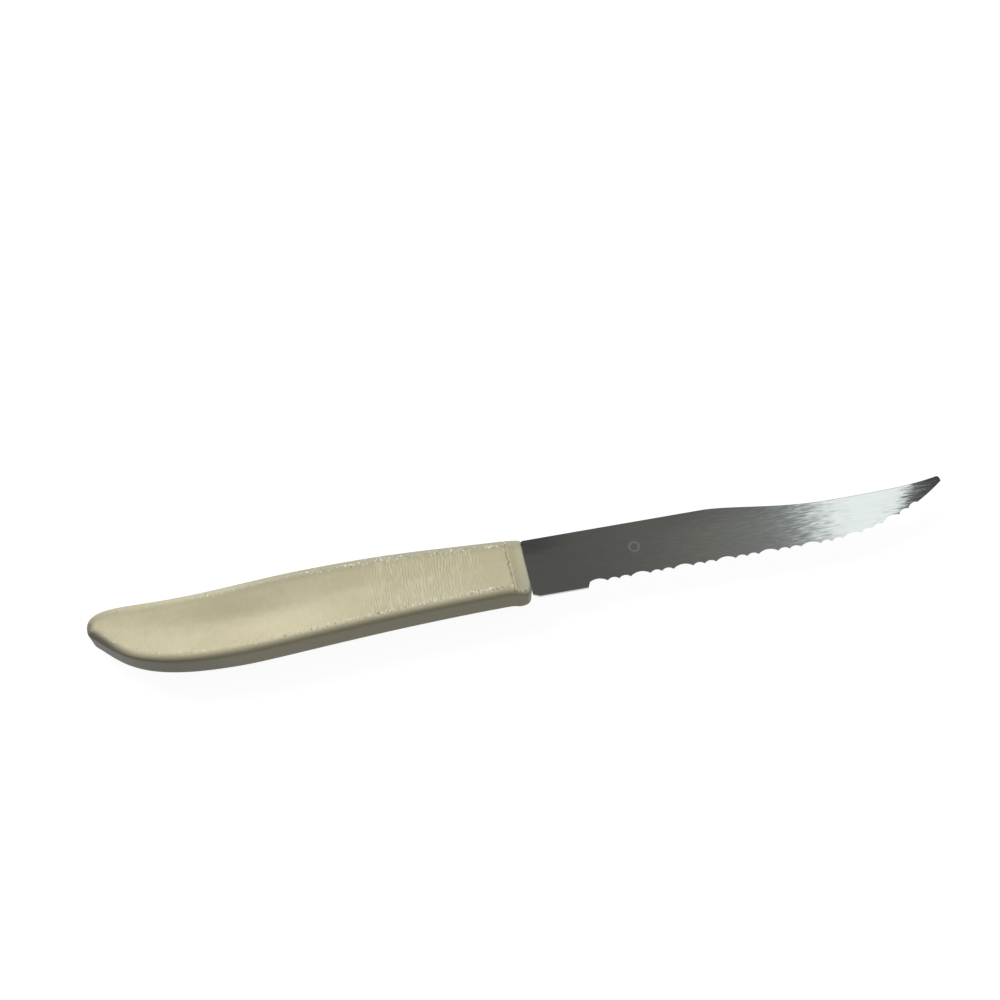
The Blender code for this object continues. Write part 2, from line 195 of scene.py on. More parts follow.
@dataclass
class Slab:
    """A closed plate cut to an outline, with a relief on each of its faces.

    Attributes:
        outline: Outer loop, counterclockwise.
        holes: Inner loops.
        lines: Open paths that the faces have an edge along.
        scatter: Other points of the faces.
        wall_rows: How many rows of faces its side walls have.
        weld: Distance within which points of the plan count as one.
    """

    outline: np.ndarray
    holes: list[np.ndarray]
    lines: list[np.ndarray]
    scatter: np.ndarray
    wall_rows: int = 1
    weld: float = 1e-5

    def plan(self) -> tuple[np.ndarray, np.ndarray]:
        """Triangulate the plate as seen from above.

        Returns:
            The points, and the counterclockwise triangles as rows of three indices.
        """
        edges: list[tuple[int, int]] = []
        base = 0
        for paths, closed in (([self.outline, *self.holes], True), (self.lines, False)):
            for path in paths:
                count = len(path)
                edges += [(base + index, base + (index + 1) % count)
                          for index in range(count if closed else count - 1)]
                base += count
        points = np.concatenate([self.outline, *self.holes, *self.lines, self.scatter])
        made = delaunay_2d_cdt([Vector(point) for point in points.tolist()], edges, [], 0,
                               self.weld, False)
        flat, triangles = np.array(made[0]), np.array(made[2])
        middle = flat[triangles].mean(axis=1)
        keep = inside(self.outline, middle)
        for hole in self.holes:
            keep &= ~inside(hole, middle)
        triangles = triangles[keep]
        first, second, third = (flat[triangles[:, corner]] for corner in range(3))
        leg, arm = second - first, third - first
        turned = leg[:, 0] * arm[:, 1] - leg[:, 1] * arm[:, 0] < 0
        triangles[turned] = triangles[turned][:, ::-1]
        used, packed = np.unique(triangles, return_inverse=True)
        return flat[used], packed.reshape(triangles.shape)

    def mesh(self, name: str, top: Relief, bottom: Relief) -> tuple[bpy.types.Mesh, np.ndarray]:
        """Give the plate its thickness.

        Args:
            name: Name of the mesh.
            top: Height of the upper face over each point.
            bottom: Height of the lower face under each point.

        Returns:
            The mesh, in millimetres, and the plan point of each of its vertices.
        """
        flat, triangles = self.plan()
        count = len(flat)
        high, low = top(flat), bottom(flat)
        sides = np.concatenate([triangles[:, [0, 1]], triangles[:, [1, 2]], triangles[:, [2, 0]]])
        known = {(int(a), int(b)) for a, b in sides}
        rim = sorted((a, b) for a, b in known if (b, a) not in known)
        on_rim = sorted({a for a, _ in rim})
        plans, heights = [flat, flat], [high, low]
        columns = {vertex: [vertex] for vertex in on_rim}
        for row in range(1, self.wall_rows):
            share = row / self.wall_rows
            start = count * 2 + len(on_rim) * (row - 1)
            plans.append(flat[on_rim])
            heights.append(high[on_rim] * (1.0 - share) + low[on_rim] * share)
            for place, vertex in enumerate(on_rim):
                columns[vertex].append(start + place)
        for vertex in on_rim:
            columns[vertex].append(count + vertex)
        faces = triangles.tolist() + (triangles[:, ::-1] + count).tolist()
        for left, right in ((columns[a], columns[b]) for a, b in rim):
            faces += [(left[row + 1], right[row + 1], right[row], left[row])
                      for row in range(self.wall_rows)]
        plan = np.concatenate(plans)
        vertices = np.concatenate([plan, np.concatenate(heights)[:, None]], 1)
        mesh = bpy.data.meshes.new(name)
        mesh.from_pydata(vertices.tolist(), [], faces)
        mesh.validate()
        return mesh, plan


class NodeDesk:
    """Lays out the nodes of one shader or geometry tree."""

    def __init__(self, tree: bpy.types.NodeTree) -> None:
        """Take a tree to work on."""
        self.tree = tree

    def add(self, kind: str, **settings: Any) -> bpy.types.Node:
        """Add a node of a kind with some of its settings."""
        node = self.tree.nodes.new(kind)
        for name, value in settings.items():
            setattr(node, name, value)
        return node

    def feed(self, target: bpy.types.NodeSocket, source: Any) -> None:
        """Link a socket to an input, or set the input to a plain value."""
        if isinstance(source, bpy.types.NodeSocket):
            self.tree.links.new(source, target)
        else:
            target.default_value = source

    def fill(self, node: bpy.types.Node, sources: dict[str, Any]) -> Any:
        """Feed a node's inputs by name, and give its outputs."""
        for name, source in sources.items():
            self.feed(node.inputs[name], source)
        return node.outputs

    def math(self, operation: str, *sources: Any) -> bpy.types.NodeSocket:
        """Combine sockets or plain numbers by an operation of the Math node."""
        node = self.add("ShaderNodeMath", operation=operation)
        for socket, source in zip(node.inputs, sources):
            self.feed(socket, source)
        return node.outputs[0]

    def times(self, first: Any, *others: Any) -> bpy.types.NodeSocket:
        """Multiply two or more numbers."""
        for other in others:
            first = self.math("MULTIPLY", first, other)
        return first

    def blend(self, factor: Any, by: Any, start: Any) -> bpy.types.NodeSocket:
        """Multiply two numbers and add a third."""
        return self.math("MULTIPLY_ADD", factor, by, start)

    def vector(self, operation: str, *sources: Any, give: str = "Vector") -> bpy.types.NodeSocket:
        """Combine vectors, with the result as a vector or as a number."""
        node = self.add("ShaderNodeVectorMath", operation=operation)
        for socket, source in zip(node.inputs, sources):
            self.feed(socket, source)
        return node.outputs[give]

    def scaled(self, vector: Any, factor: Any) -> bpy.types.NodeSocket:
        """Multiply a vector by a number."""
        node = self.add("ShaderNodeVectorMath", operation="SCALE")
        return self.fill(node, {"Vector": vector, "Scale": factor})["Vector"]

    def apart(self, vector: Any) -> Any:
        """Split a vector into sockets named X, Y and Z."""
        return self.fill(self.add("ShaderNodeSeparateXYZ"), {"Vector": vector})

    def pick(self, test: Any, no: Any, yes: Any) -> bpy.types.NodeSocket:
        """Choose between two numbers by a test that is 0 or 1."""
        return self.blend(test, self.math("SUBTRACT", yes, no), no)

    def noise(self, vector: Any, detail: float, seed: Any) -> bpy.types.NodeSocket:
        """Add smooth noise of one cell per unit of its vector."""
        node = self.add("ShaderNodeTexNoise", noise_dimensions="4D")
        return self.fill(node, {"Vector": vector, "Scale": 1.0, "Detail": detail, "W": seed})[0]

    def ramp(self, value: Any, zero: Any, one: Any) -> bpy.types.NodeSocket:
        """Turn a range of a value into 0 to 1, eased at both ends."""
        node = self.add("ShaderNodeMapRange", interpolation_type="SMOOTHSTEP")
        return self.fill(node, {"Value": value, "From Min": zero, "From Max": one})["Result"]

    def mixed(self, factor: Any, first: Any, second: Any) -> bpy.types.NodeSocket:
        """Mix two colours, each a socket or plain, by the share of the second."""
        node = self.add("ShaderNodeMix", data_type="RGBA")
        self.feed(node.inputs["Factor"], factor)
        colours = [socket for socket in node.inputs if socket.type == "RGBA"]
        for socket, source in zip(colours, (first, second)):
            self.feed(socket, source if isinstance(source, bpy.types.NodeSocket)
                      else (*source, 1.0))
        return next(socket for socket in node.outputs if socket.type == "RGBA")

    def painted(self, name: str) -> bpy.types.NodeSocket:
        """Read a number stored at the vertices, in a shader."""
        return self.add("ShaderNodeAttribute", attribute_name=name).outputs["Fac"]

    def stored(self, name: str, data: Data) -> bpy.types.NodeSocket:
        """Read what is stored at the vertices, in a geometry tree."""
        node = self.add("GeometryNodeInputNamedAttribute", data_type=data.value[0])
        return self.fill(node, {"Name": name})["Attribute"]

    def bump(self, height: Any, distance: float, strength: float) -> bpy.types.Node:
        """Add a bump of a height."""
        node = self.add("ShaderNodeBump")
        self.fill(node, {"Height": height, "Distance": distance, "Strength": strength})
        return node

    def finish(self, geometry: Any, offset: Any, material: Any) -> None:
        """End a geometry tree: move its points, make them real and give them a material."""
        moved = self.fill(self.add("GeometryNodeSetPosition"),
                          {"Geometry": geometry, "Offset": offset})
        real = self.fill(self.add("GeometryNodeRealizeInstances"), {"Geometry": moved[0]})
        dressed = self.fill(self.add("GeometryNodeSetMaterial"),
                            {"Geometry": real[0], "Material": material})
        self.feed(self.add("NodeGroupOutput").inputs[0], dressed[0])


@dataclass(frozen=True)
class Slant:
    """The slanting line where the handle ends and the blade's shoulder stands."""

    belly: float = 7.1
    degrees: float = 3.3

    @property
    def angle(self) -> float:
        """Its angle to the knife's cross direction, in radians."""
        return math.radians(self.degrees)

    def x(self, y: float) -> float:
        """Where it is at an offset from the axis."""
        return -(y + self.belly) * math.tan(self.angle)


def sockets(tree: bpy.types.NodeTree, way: Way, kinds: dict[str, str]) -> None:
    """Declare a tree's sockets at one end, with the kind of each by its name."""
    for name, kind in kinds.items():
        tree.interface.new_socket(name=name, in_out=way.value, socket_type="NodeSocket" + kind)


def start_tree(name: str, *values: str) -> tuple[NodeDesk, Any]:
    """Begin a geometry tree that takes a mesh, some numbers and a finish, and gives a mesh.

    Args:
        name: Name of the tree.
        values: Names of its numbers.

    Returns:
        A desk for its nodes, and the sockets of what it is given.
    """
    tree = bpy.data.node_groups.new(name, "GeometryNodeTree")
    sockets(tree, Way.IN, {"Geometry": "Geometry", **dict.fromkeys(values, "Float"),
                           "Finish": "Material"})
    sockets(tree, Way.OUT, {"Geometry": "Geometry"})
    desk = NodeDesk(tree)
    return desk, desk.add("NodeGroupInput").outputs


def bake_tree(piece: bpy.types.Object, tree: bpy.types.NodeTree, values: dict[str, Any]) -> None:
    """Run a geometry tree on a piece and keep the plain mesh that it gives.

    Args:
        piece: The piece.
        tree: The geometry node tree.
        values: Value of each named input.
    """
    named = {item.name: item.identifier for item in tree.interface.items_tree
             if item.item_type == "SOCKET" and item.in_out == Way.IN.value}
    modifier = piece.modifiers.new(tree.name, "NODES")
    modifier.node_group = tree
    for name, value in values.items():
        modifier[named[name]] = value
    graph = bpy.context.evaluated_depsgraph_get()
    made = bpy.data.meshes.new_from_object(
        piece.evaluated_get(graph), preserve_all_data_layers=True, depsgraph=graph)
    piece.modifiers.remove(modifier)
    old = piece.data
    piece.data = made
    made.name = piece.name
    bpy.data.meshes.remove(old)


def write_attribute(mesh: bpy.types.Mesh, name: str, values: np.ndarray) -> None:
    """Store one number, or one vector, for each vertex."""
    kind, key = (Data.VECTOR if values.ndim == 2 else Data.NUMBER).value
    layer = mesh.attributes.new(name, kind, "POINT")
    layer.data.foreach_set(key, values.astype(np.float32).ravel())


def add_object(name: str, data: Any) -> bpy.types.Object:
    """Put a mesh, a camera or a lamp in the scene under a name."""
    made = bpy.data.objects.new(name, data)
    bpy.context.scene.collection.objects.link(made)
    return made


def settle(mesh: bpy.types.Mesh, origin: Triple) -> None:
    """Carry a mesh drawn in millimetres into the frame of the solids.

    Args:
        mesh: The mesh.
        origin: Place of the knife's own origin, in metres.
    """
    places = np.empty(len(mesh.vertices) * 3, np.float32)
    mesh.vertices.foreach_get("co", places)
    moved = places.reshape(-1, 3) * MM + np.array(origin)
    mesh.vertices.foreach_set("co", moved.astype(np.float32).ravel())
    mesh.update()


def shade(mesh: bpy.types.Mesh, crease: float) -> None:
    """Shade a mesh smooth, apart from its edges sharper than an angle in degrees."""
    mesh.shade_smooth()
    mesh.set_sharp_from_angle(angle=math.radians(crease))


def draw(name: str, slab: Slab, faces: tuple[Relief, Relief],
         weights: Callable[[np.ndarray], dict[str, np.ndarray]],
         origin: Triple) -> bpy.types.Object:
    """Draw a piece of the knife and store what its tree and its finish read.

    Args:
        name: Name of the piece.
        slab: Its plan.
        faces: Heights of its upper and its lower face.
        weights: Gives its attributes at plan points, by name.
        origin: Place of the knife's own origin, in metres.

    Returns:
        The smoothly shaded piece.
    """
    mesh, plan = slab.mesh(name, *faces)
    for key, values in weights(plan).items():
        write_attribute(mesh, key, values)
    settle(mesh, origin)
    mesh.shade_smooth()
    return add_object(name, mesh)


def new_material(name: str) -> tuple[bpy.types.Material, NodeDesk]:
    """Make a material and a desk for its nodes."""
    made = bpy.data.materials.new(name)
    made.use_nodes = True
    return made, NodeDesk(made.node_tree)


@dataclass(frozen=True)
class Grain:
    """One pattern of patchy grain.

    Attributes:
        cells: Its cells per metre along each axis.
        seed: Which pattern of the noise it is.
        span: Noise values that its mask turns into 0 and 1.
    """

    cells: Triple
    seed: float
    span: Pair


class GrainGroup:
    """Shader group that gives patchy grain, drawn out along any axis."""

    def __init__(self) -> None:
        """Build the group once, for every material to place."""
        self.tree = bpy.data.node_groups.new("drawn_out_grain", "ShaderNodeTree")
        sockets(self.tree, Way.IN, {"Vector": "Vector", "Cells": "Vector", "Seed": "Float",
                                    "Low": "Float", "High": "Float"})
        sockets(self.tree, Way.OUT, {"Mask": "Float", "Height": "Float"})
        desk = NodeDesk(self.tree)
        given = desk.add("NodeGroupInput").outputs
        height = desk.noise(desk.vector("MULTIPLY", given["Vector"], given["Cells"]), 3.0,
                            given["Seed"])
        mask = desk.ramp(height, given["Low"], given["High"])
        desk.fill(desk.add("NodeGroupOutput"), {"Mask": mask, "Height": height})

    def place(self, desk: NodeDesk, where: Any, grain: Grain,
              span: tuple[Any, Any] | None = None) -> Any:
        """Put the group in a material.

        Args:
            desk: The material's nodes.
            where: Coordinates to read.
            grain: The pattern.
            span: Sockets to use in place of the pattern's own span.

        Returns:
            The group's sockets, named Mask and Height.
        """
        low, high = span or grain.span
        return desk.fill(desk.add("ShaderNodeGroup", node_tree=self.tree),
                         {"Vector": where, "Cells": grain.cells, "Seed": grain.seed,
                          "Low": low, "High": high})


@dataclass(frozen=True)
class CreamPlastic:
    """Cream moulding plastic with cross ripples, a worn rim and fine specks.

    Shares say how much of a tint or a height comes through; a fall says how much lower the
    noise has to be on the rim for a speck to show.
    """

    colour: Triple = (0.60, 0.555, 0.395)
    # tint of the random mottling, and the colour of painted shade
    mottle_and_painted_shade_colour: Triple = (0.52, 0.483, 0.322)
    worn_colour: Triple = (0.76, 0.74, 0.61)
    speck_colour: Triple = (0.20, 0.18, 0.12)
    # painted shade: the handle's sides, except the spine side, are darkened
    painted_wall_shade_colour: Triple = (0.42, 0.388, 0.248)
    # painted shade: a darker band along the spine side's rounded rim
    painted_spine_rim_shade_colour: Triple = (0.355, 0.34, 0.255)
    # painted deep shade: the butt's side, the nose's rounded end and a thin line along the spine
    # edge
    painted_deep_shade_colour: Triple = (0.14, 0.132, 0.105)
    # groove dirt and painted shade in the lip's border groove
    groove_dirt_and_shade_colour: Triple = (0.40, 0.37, 0.25)
    # painted light: the lip is lightened and greyed towards its front end
    painted_lip_light_colour: Triple = (0.588, 0.572, 0.415)
    cloud: Grain = Grain((45.0, 90.0, 90.0), 3.0, (0.35, 0.68))
    mottle: Grain = Grain((900.0, 900.0, 900.0), 8.0, (0.3, 0.7))
    chatter: Grain = Grain((2400.0, 450.0, 450.0), 7.0, (0.5, 0.68))
    patch: Grain = Grain((150.0, 150.0, 150.0), 11.0, (0.4, 0.62))
    pebble: Grain = Grain((2000.0, 1300.0, 1300.0), 1.0, (0.70, 0.77))
    speck: Grain = Grain((1500.0, 1200.0, 1200.0), 5.0, (0.72, 0.77))
    patch_fall: float = -0.04
    pebble_fall: float = -0.17
    speck_fall: float = -0.15
    near_span: Pair = (0.02, 0.3)
    cloud_share: float = 0.8
    mottle_share: float = 0.42
    streak_share: float = 0.5
    worn_share: float = 0.9
    groove_dirt_and_shade_share: Pair = (0.85, -0.6)
    speck_share: Pair = (0.1, 0.5)
    gloss: float = 0.2
    roughness: float = 0.48
    worn_roughness: float = 0.62
    bump_height: float = 0.00006
    bump_strength: float = 0.8
    chatter_lift: float = 2.0
    pebble_lift: Pair = (0.5, 4.0)

    def specks(self, desk: NodeDesk, place: Callable[..., Any], grain: Grain, fall: float,
               patch: Any, rim: Any) -> Any:
        """Lay grain that crowds together on the rim.

        Args:
            desk: The material's nodes.
            place: Puts a pattern in the material.
            grain: The pattern.
            fall: How much lower its span is on the rim.
            patch: Mask of the patches in which it is denser.
            rim: Mask of the rim.

        Returns:
            The grain's sockets.
        """
        rare, full = grain.span
        low = desk.blend(rim, fall, desk.blend(patch, self.patch_fall, rare))
        return place(grain, (low, desk.math("ADD", low, full - rare)))

    def material(self, group: GrainGroup) -> bpy.types.Material:
        """Build the material.

        Args:
            group: The shared grain group.

        Returns:
            The material.
        """
        made, desk = new_material("cream_plastic")
        where = desk.add("ShaderNodeTexCoord").outputs["Object"]
        ripple, rim = desk.painted("ripple"), desk.painted("rim")

        def place(grain: Grain, span: tuple[Any, Any] | None = None) -> Any:
            """Put one pattern in this material."""
            return group.place(desk, where, grain, span)

        cloud, mottle, chatter, patch = (
            place(grain) for grain in (self.cloud, self.mottle, self.chatter, self.patch))
        pebble = self.specks(desk, place, self.pebble, self.pebble_fall, patch["Mask"], rim)
        speck = self.specks(desk, place, self.speck, self.speck_fall, patch["Mask"], rim)
        near = desk.ramp(rim, *self.near_span)
        # random cloudy and mottled tone, together with painted shade from the shade mask
        darker = desk.math("MAXIMUM", desk.times(cloud["Mask"], self.cloud_share),
                           desk.painted("shade"))
        darker = desk.blend(mottle["Mask"], self.mottle_share, darker)
        streak = desk.times(chatter["Mask"], ripple)
        worn = desk.times(pebble["Mask"], near)
        pale = desk.math("MAXIMUM", desk.times(streak, self.streak_share),
                         desk.times(worn, self.worn_share))
        # groove dirt and painted shade along the lip's border, less where the pebble grain lies
        whole, lost = self.groove_dirt_and_shade_share
        border = desk.times(desk.painted("border"), desk.blend(pebble["Mask"], lost, whole))
        least, more = self.speck_share
        colour = self.colour
        for share, tint in ((darker, self.mottle_and_painted_shade_colour),
                            (desk.painted("collar"), self.painted_lip_light_colour),
                            (desk.painted("wall"), self.painted_wall_shade_colour),
                            (desk.painted("crown"), self.painted_spine_rim_shade_colour),
                            (desk.painted("dusk"), self.painted_deep_shade_colour),
                            (pale, self.worn_colour),
                            (border, self.groove_dirt_and_shade_colour),
                            (desk.times(speck["Mask"], desk.blend(near, more, least)),
                             self.speck_colour)):
            colour = desk.mixed(share, colour, tint)
        flat, rough = self.pebble_lift
        lift = desk.blend(pebble["Height"], desk.blend(rim, rough, flat),
                          desk.times(chatter["Height"], ripple, self.chatter_lift))
        bump = desk.bump(lift, self.bump_height, self.bump_strength)
        desk.fill(made.node_tree.nodes["Principled BSDF"], {
            "Base Color": colour, "Specular IOR Level": self.gloss,
            "Roughness": desk.pick(worn, self.roughness, self.worn_roughness),
            "Normal": bump.outputs["Normal"]})
        return made


@dataclass(frozen=True)
class BrushedSteel:
    """Stainless strip brushed along its length, with one plain ring pressed in."""

    colour: Triple = (0.54, 0.545, 0.53)
    streak_colour: Triple = (0.56, 0.565, 0.55)
    worn_colour: Triple = (0.78, 0.78, 0.77)
    # painted shade: patchy darkening where the blade meets the handle
    joint_shade_colour: Triple = (0.36, 0.375, 0.39)
    fine: Grain = Grain((60.0, 2600.0, 2600.0), 2.0, (0.4, 0.7))
    broad: Grain = Grain((60.0, 900.0, 900.0), 4.0, (0.5, 0.75))
    lines: Grain = Grain((330.0, 2500.0, 2500.0), 6.0, (0.3, 0.7))
    scratch: Grain = Grain((90.0, 3500.0, 3500.0), 9.0, (0.74, 0.8))
    joint_shade_grain: Grain = Grain((60.0, 420.0, 420.0), 12.0, (0.38, 0.62))
    joint_shade_x: Pair = (0.016, 0.002)
    joint_shade_y: Pair = (0.001, 0.007)
    scratch_share: float = 0.7
    worn_share: float = 0.8
    roughness: float = 0.06
    streak_roughness: float = 0.11
    worn_roughness: float = 0.12
    streak_height: float = 0.000003
    ring_depth: float = -4.0
    line_tilt: float = 0.085
    calm_tilt: float = 0.03
    calm_x: Pair = (0.09, 0.097)
    ring_radius: float = 0.00121
    ring_edge: Pair = (0.000432, 0.00018)
    ring_skin: Pair = (-0.0005, -0.0003)
    ring_place: Triple = (0.0285, 0.00193, 0.00675)

    def ring(self, desk: NodeDesk, where: Any) -> bpy.types.NodeSocket:
        """Mask of the pressed ring on the upper face, from object coordinates."""
        away = desk.vector("LENGTH", desk.vector("SUBTRACT", where, self.ring_place),
                           give="Value")
        off = desk.math("ABSOLUTE", desk.math("SUBTRACT", away, self.ring_radius))
        upper = desk.ramp(desk.apart(where)["Z"],
                          *(self.ring_place[2] + depth for depth in self.ring_skin))
        return desk.times(upper, desk.ramp(off, *self.ring_edge))

    def material(self, group: GrainGroup) -> bpy.types.Material:
        """Build the material.

        Args:
            group: The shared grain group.

        Returns:
            The material.
        """
        made, desk = new_material("brushed_steel")
        where = desk.add("ShaderNodeTexCoord").outputs["Object"]
        fine, broad, lines, scratch, joint_shade_grain = (
            group.place(desk, where, grain)
            for grain in (self.fine, self.broad, self.lines, self.scratch, self.joint_shade_grain))
        ring, apart = self.ring(desk, where), desk.apart(where)
        # painted shade, patchy, near where the blade meets the handle, on its spine side
        root = desk.times(desk.ramp(apart["X"], *self.joint_shade_x),
                          desk.ramp(apart["Y"], *self.joint_shade_y), joint_shade_grain["Mask"])
        light = desk.math("MAXIMUM", ring, desk.times(scratch["Mask"], self.scratch_share))
        colour = desk.mixed(fine["Mask"], self.colour, self.streak_colour)
        colour = desk.mixed(root, colour, self.joint_shade_colour)
        colour = desk.mixed(desk.times(light, self.worn_share), colour, self.worn_colour)
        rough = desk.pick(broad["Mask"], self.roughness, self.streak_roughness)
        tilt = desk.pick(desk.ramp(apart["X"], *self.calm_x), self.line_tilt, self.calm_tilt)
        lean = desk.times(desk.math("SUBTRACT", lines["Height"], 0.5), tilt)
        facing = desk.add("ShaderNodeNewGeometry").outputs["Normal"]
        leaning = desk.vector("ADD", facing, desk.scaled((1.0, 0.0, 0.0), lean))
        bump = desk.bump(desk.blend(ring, self.ring_depth, fine["Height"]),
                         self.streak_height, 1.0)
        desk.feed(bump.inputs["Normal"], desk.vector("NORMALIZE", leaning))
        desk.fill(made.node_tree.nodes["Principled BSDF"], {
            "Base Color": colour, "Metallic": 1.0,
            "Roughness": desk.blend(light, self.worn_roughness, rough),
            "Normal": bump.outputs["Normal"]})
        return made


@dataclass(frozen=True)
class WearAndShade:
    """Where the handle is rippled, worn, and painted with shade and light, in millimetres.

    A span holds the places where a mask is 0 and where it is 1. Names that end in x or y are
    places along and across the knife, in is the distance from the handle's side, and ahead
    the distance ahead of the lip's border. Values for two sides are the belly's, then the
    spine's.
    """

    ripple_rear_x: Pair = (-45.0, -37.0)
    ripple_fore_x: Pair = (-9.0, -15.0)
    ripple_in: Pair = (0.9, 1.8)
    ripple_y: Pair = (-2.0, -6.0)
    ripple_least: float = 0.7
    band_in: Pair = (2.0, 1.5)
    band_width: Pair = (0.65, 0.95)
    band_share: Pair = (1.0, 0.75)
    band_start: Pair = (0.0, 0.4)
    band_rear_x: Pair = (-55.0, -75.0)
    band_rear: float = 0.45
    border_grit: float = 0.45
    border_grit_in: Pair = (0.0, 1.5)
    border_width: float = 0.2
    lip_ahead: Pair = (0.4, 0.9)
    toe_ahead: Pair = (-0.8, 0.4)
    toe_y: Pair = (-2.0, -4.0)
    spine_y: Pair = (-1.5, 1.5)
    wall_shade_in: Pair = (0.56, -0.04)
    wall_shade_toe: float = 0.2
    spine_rim_shade_in: Pair = (3.7, 0.3)
    spine_rim_shade_x: Pair = (-55.0, -80.0)
    spine_rim_shade_share: Pair = (0.9, 0.4)
    butt_shade_x: Pair = (-70.0, -94.0)
    butt_shade_share: float = 0.7
    nose_shade_x: Pair = (-97.5, -106.0)
    nose_shade_in: Pair = (2.5, 0.7)
    nose_shade_y: Pair = (3.5, 6.5)
    nose_shade_share: Pair = (0.94, 0.75)
    skyline_shade_in: Pair = (0.7, 0.1)
    skyline_shade_share: float = 0.45
    corner_y: Pair = (-5.5, -6.5)
    corner_in: float = 0.9
    corner_width: float = 0.45
    corner_share: float = 0.9
    lip_light_start: Pair = (0.2, 1.8)
    lip_light_length: float = 1.8
    lip_light_y: Pair = (4.6, 6.0)
    painted_shade_x: Pair = (-60.0, -35.0)
    painted_shade_y: Pair = (-1.0, 3.0)
    painted_shade_share: Pair = (0.25, 0.65)

    def masks(self, plan: np.ndarray, depth: np.ndarray, front: np.ndarray, ahead: np.ndarray,
              spineward: np.ndarray) -> dict[str, np.ndarray]:
        """Work out every mask.

        Args:
            plan: Plan point of each vertex.
            depth: Its distance from the handle's side.
            front: Its distance from the front end.
            ahead: Its distance ahead of the lip's border.
            spineward: Its share of the way from the belly side to the spine side.

        Returns:
            A number from 0 to 1 for each vertex, by name.
        """
        x, y = plan.T
        ripple = (ease(x, *self.ripple_rear_x) * ease(x, *self.ripple_fore_x)
                  * ease(depth, *self.ripple_in)
                  * (self.ripple_least + (1.0 - self.ripple_least) * ease(y, *self.ripple_y)))
        middle, width, share = (np.where(y > 0.0, spine, belly) for belly, spine in
                                (self.band_in, self.band_width, self.band_share))
        band = (bell(depth - middle, width) * ease(depth, *self.band_start) * share
                * (1.0 - self.band_rear * ease(x, *self.band_rear_x)))
        edge = bell(ahead, self.border_grit) * ease(depth, *self.border_grit_in)
        rim = np.clip(np.maximum(band, edge), 0.0, 1.0)
        lip = ease(ahead, *self.lip_ahead)
        toe = ease(ahead, *self.toe_ahead) * ease(y, *self.toe_y)
        over = ease(y, *self.spine_y)
        # painted shade on the sides away from the spine, fading within about half a millimetre of
        # the edge
        clear, full = self.wall_shade_in
        wall = (1.0 - ease(depth, full, clear - self.wall_shade_toe * toe)) * (1.0 - over)
        # painted shade along the spine side's rounded rim, weaker towards the butt
        most, lost = self.spine_rim_shade_share
        crown = over * ease(depth, *self.spine_rim_shade_in) * (most - lost * ease(x, *self.spine_rim_shade_x))
        # painted deep shade on the rear sides, the nose's end and a thin line at the spine edge
        most, lost = self.nose_shade_share
        nose = (ease(x, *self.nose_shade_x) * ease(depth, *self.nose_shade_in)
                * (1.0 - lost * ease(y, *self.nose_shade_y)))
        skyline_shade = over * ease(depth, *self.skyline_shade_in)
        dusk = np.maximum.reduce([self.butt_shade_share * wall * ease(x, *self.butt_shade_x), most * nose,
                                  self.skyline_shade_share * skyline_shade])
        corner = (toe * ease(y, *self.corner_y)
                  * bell(np.minimum(depth, front) - self.corner_in, self.corner_width))
        # painted light on the lip, growing towards its front end, and near the spine side
        belly, rise = self.lip_light_start
        start = belly + rise * spineward
        collar = np.maximum(ease(ahead, start, start + self.lip_light_length),
                            lip * ease(y, *self.lip_light_y))
        # painted shade on the lip's slope behind its painted light, and on the spine side of the
        # front panel
        least, more = self.painted_shade_share
        return {
            "ripple": ripple, "wall": wall, "collar": collar, "dusk": dusk, "crown": crown,
            "rim": np.maximum(rim * (1.0 - lip), self.corner_share * corner),
            # groove dirt and painted shade along the lip's border
            "border": bell(ahead, self.border_width) * (1.0 - toe),
            "shade": np.maximum((least + more * spineward) * lip * (1.0 - collar),
                                ease(x, *self.painted_shade_x) * ease(y, *self.painted_shade_y) * (1.0 - lip))}


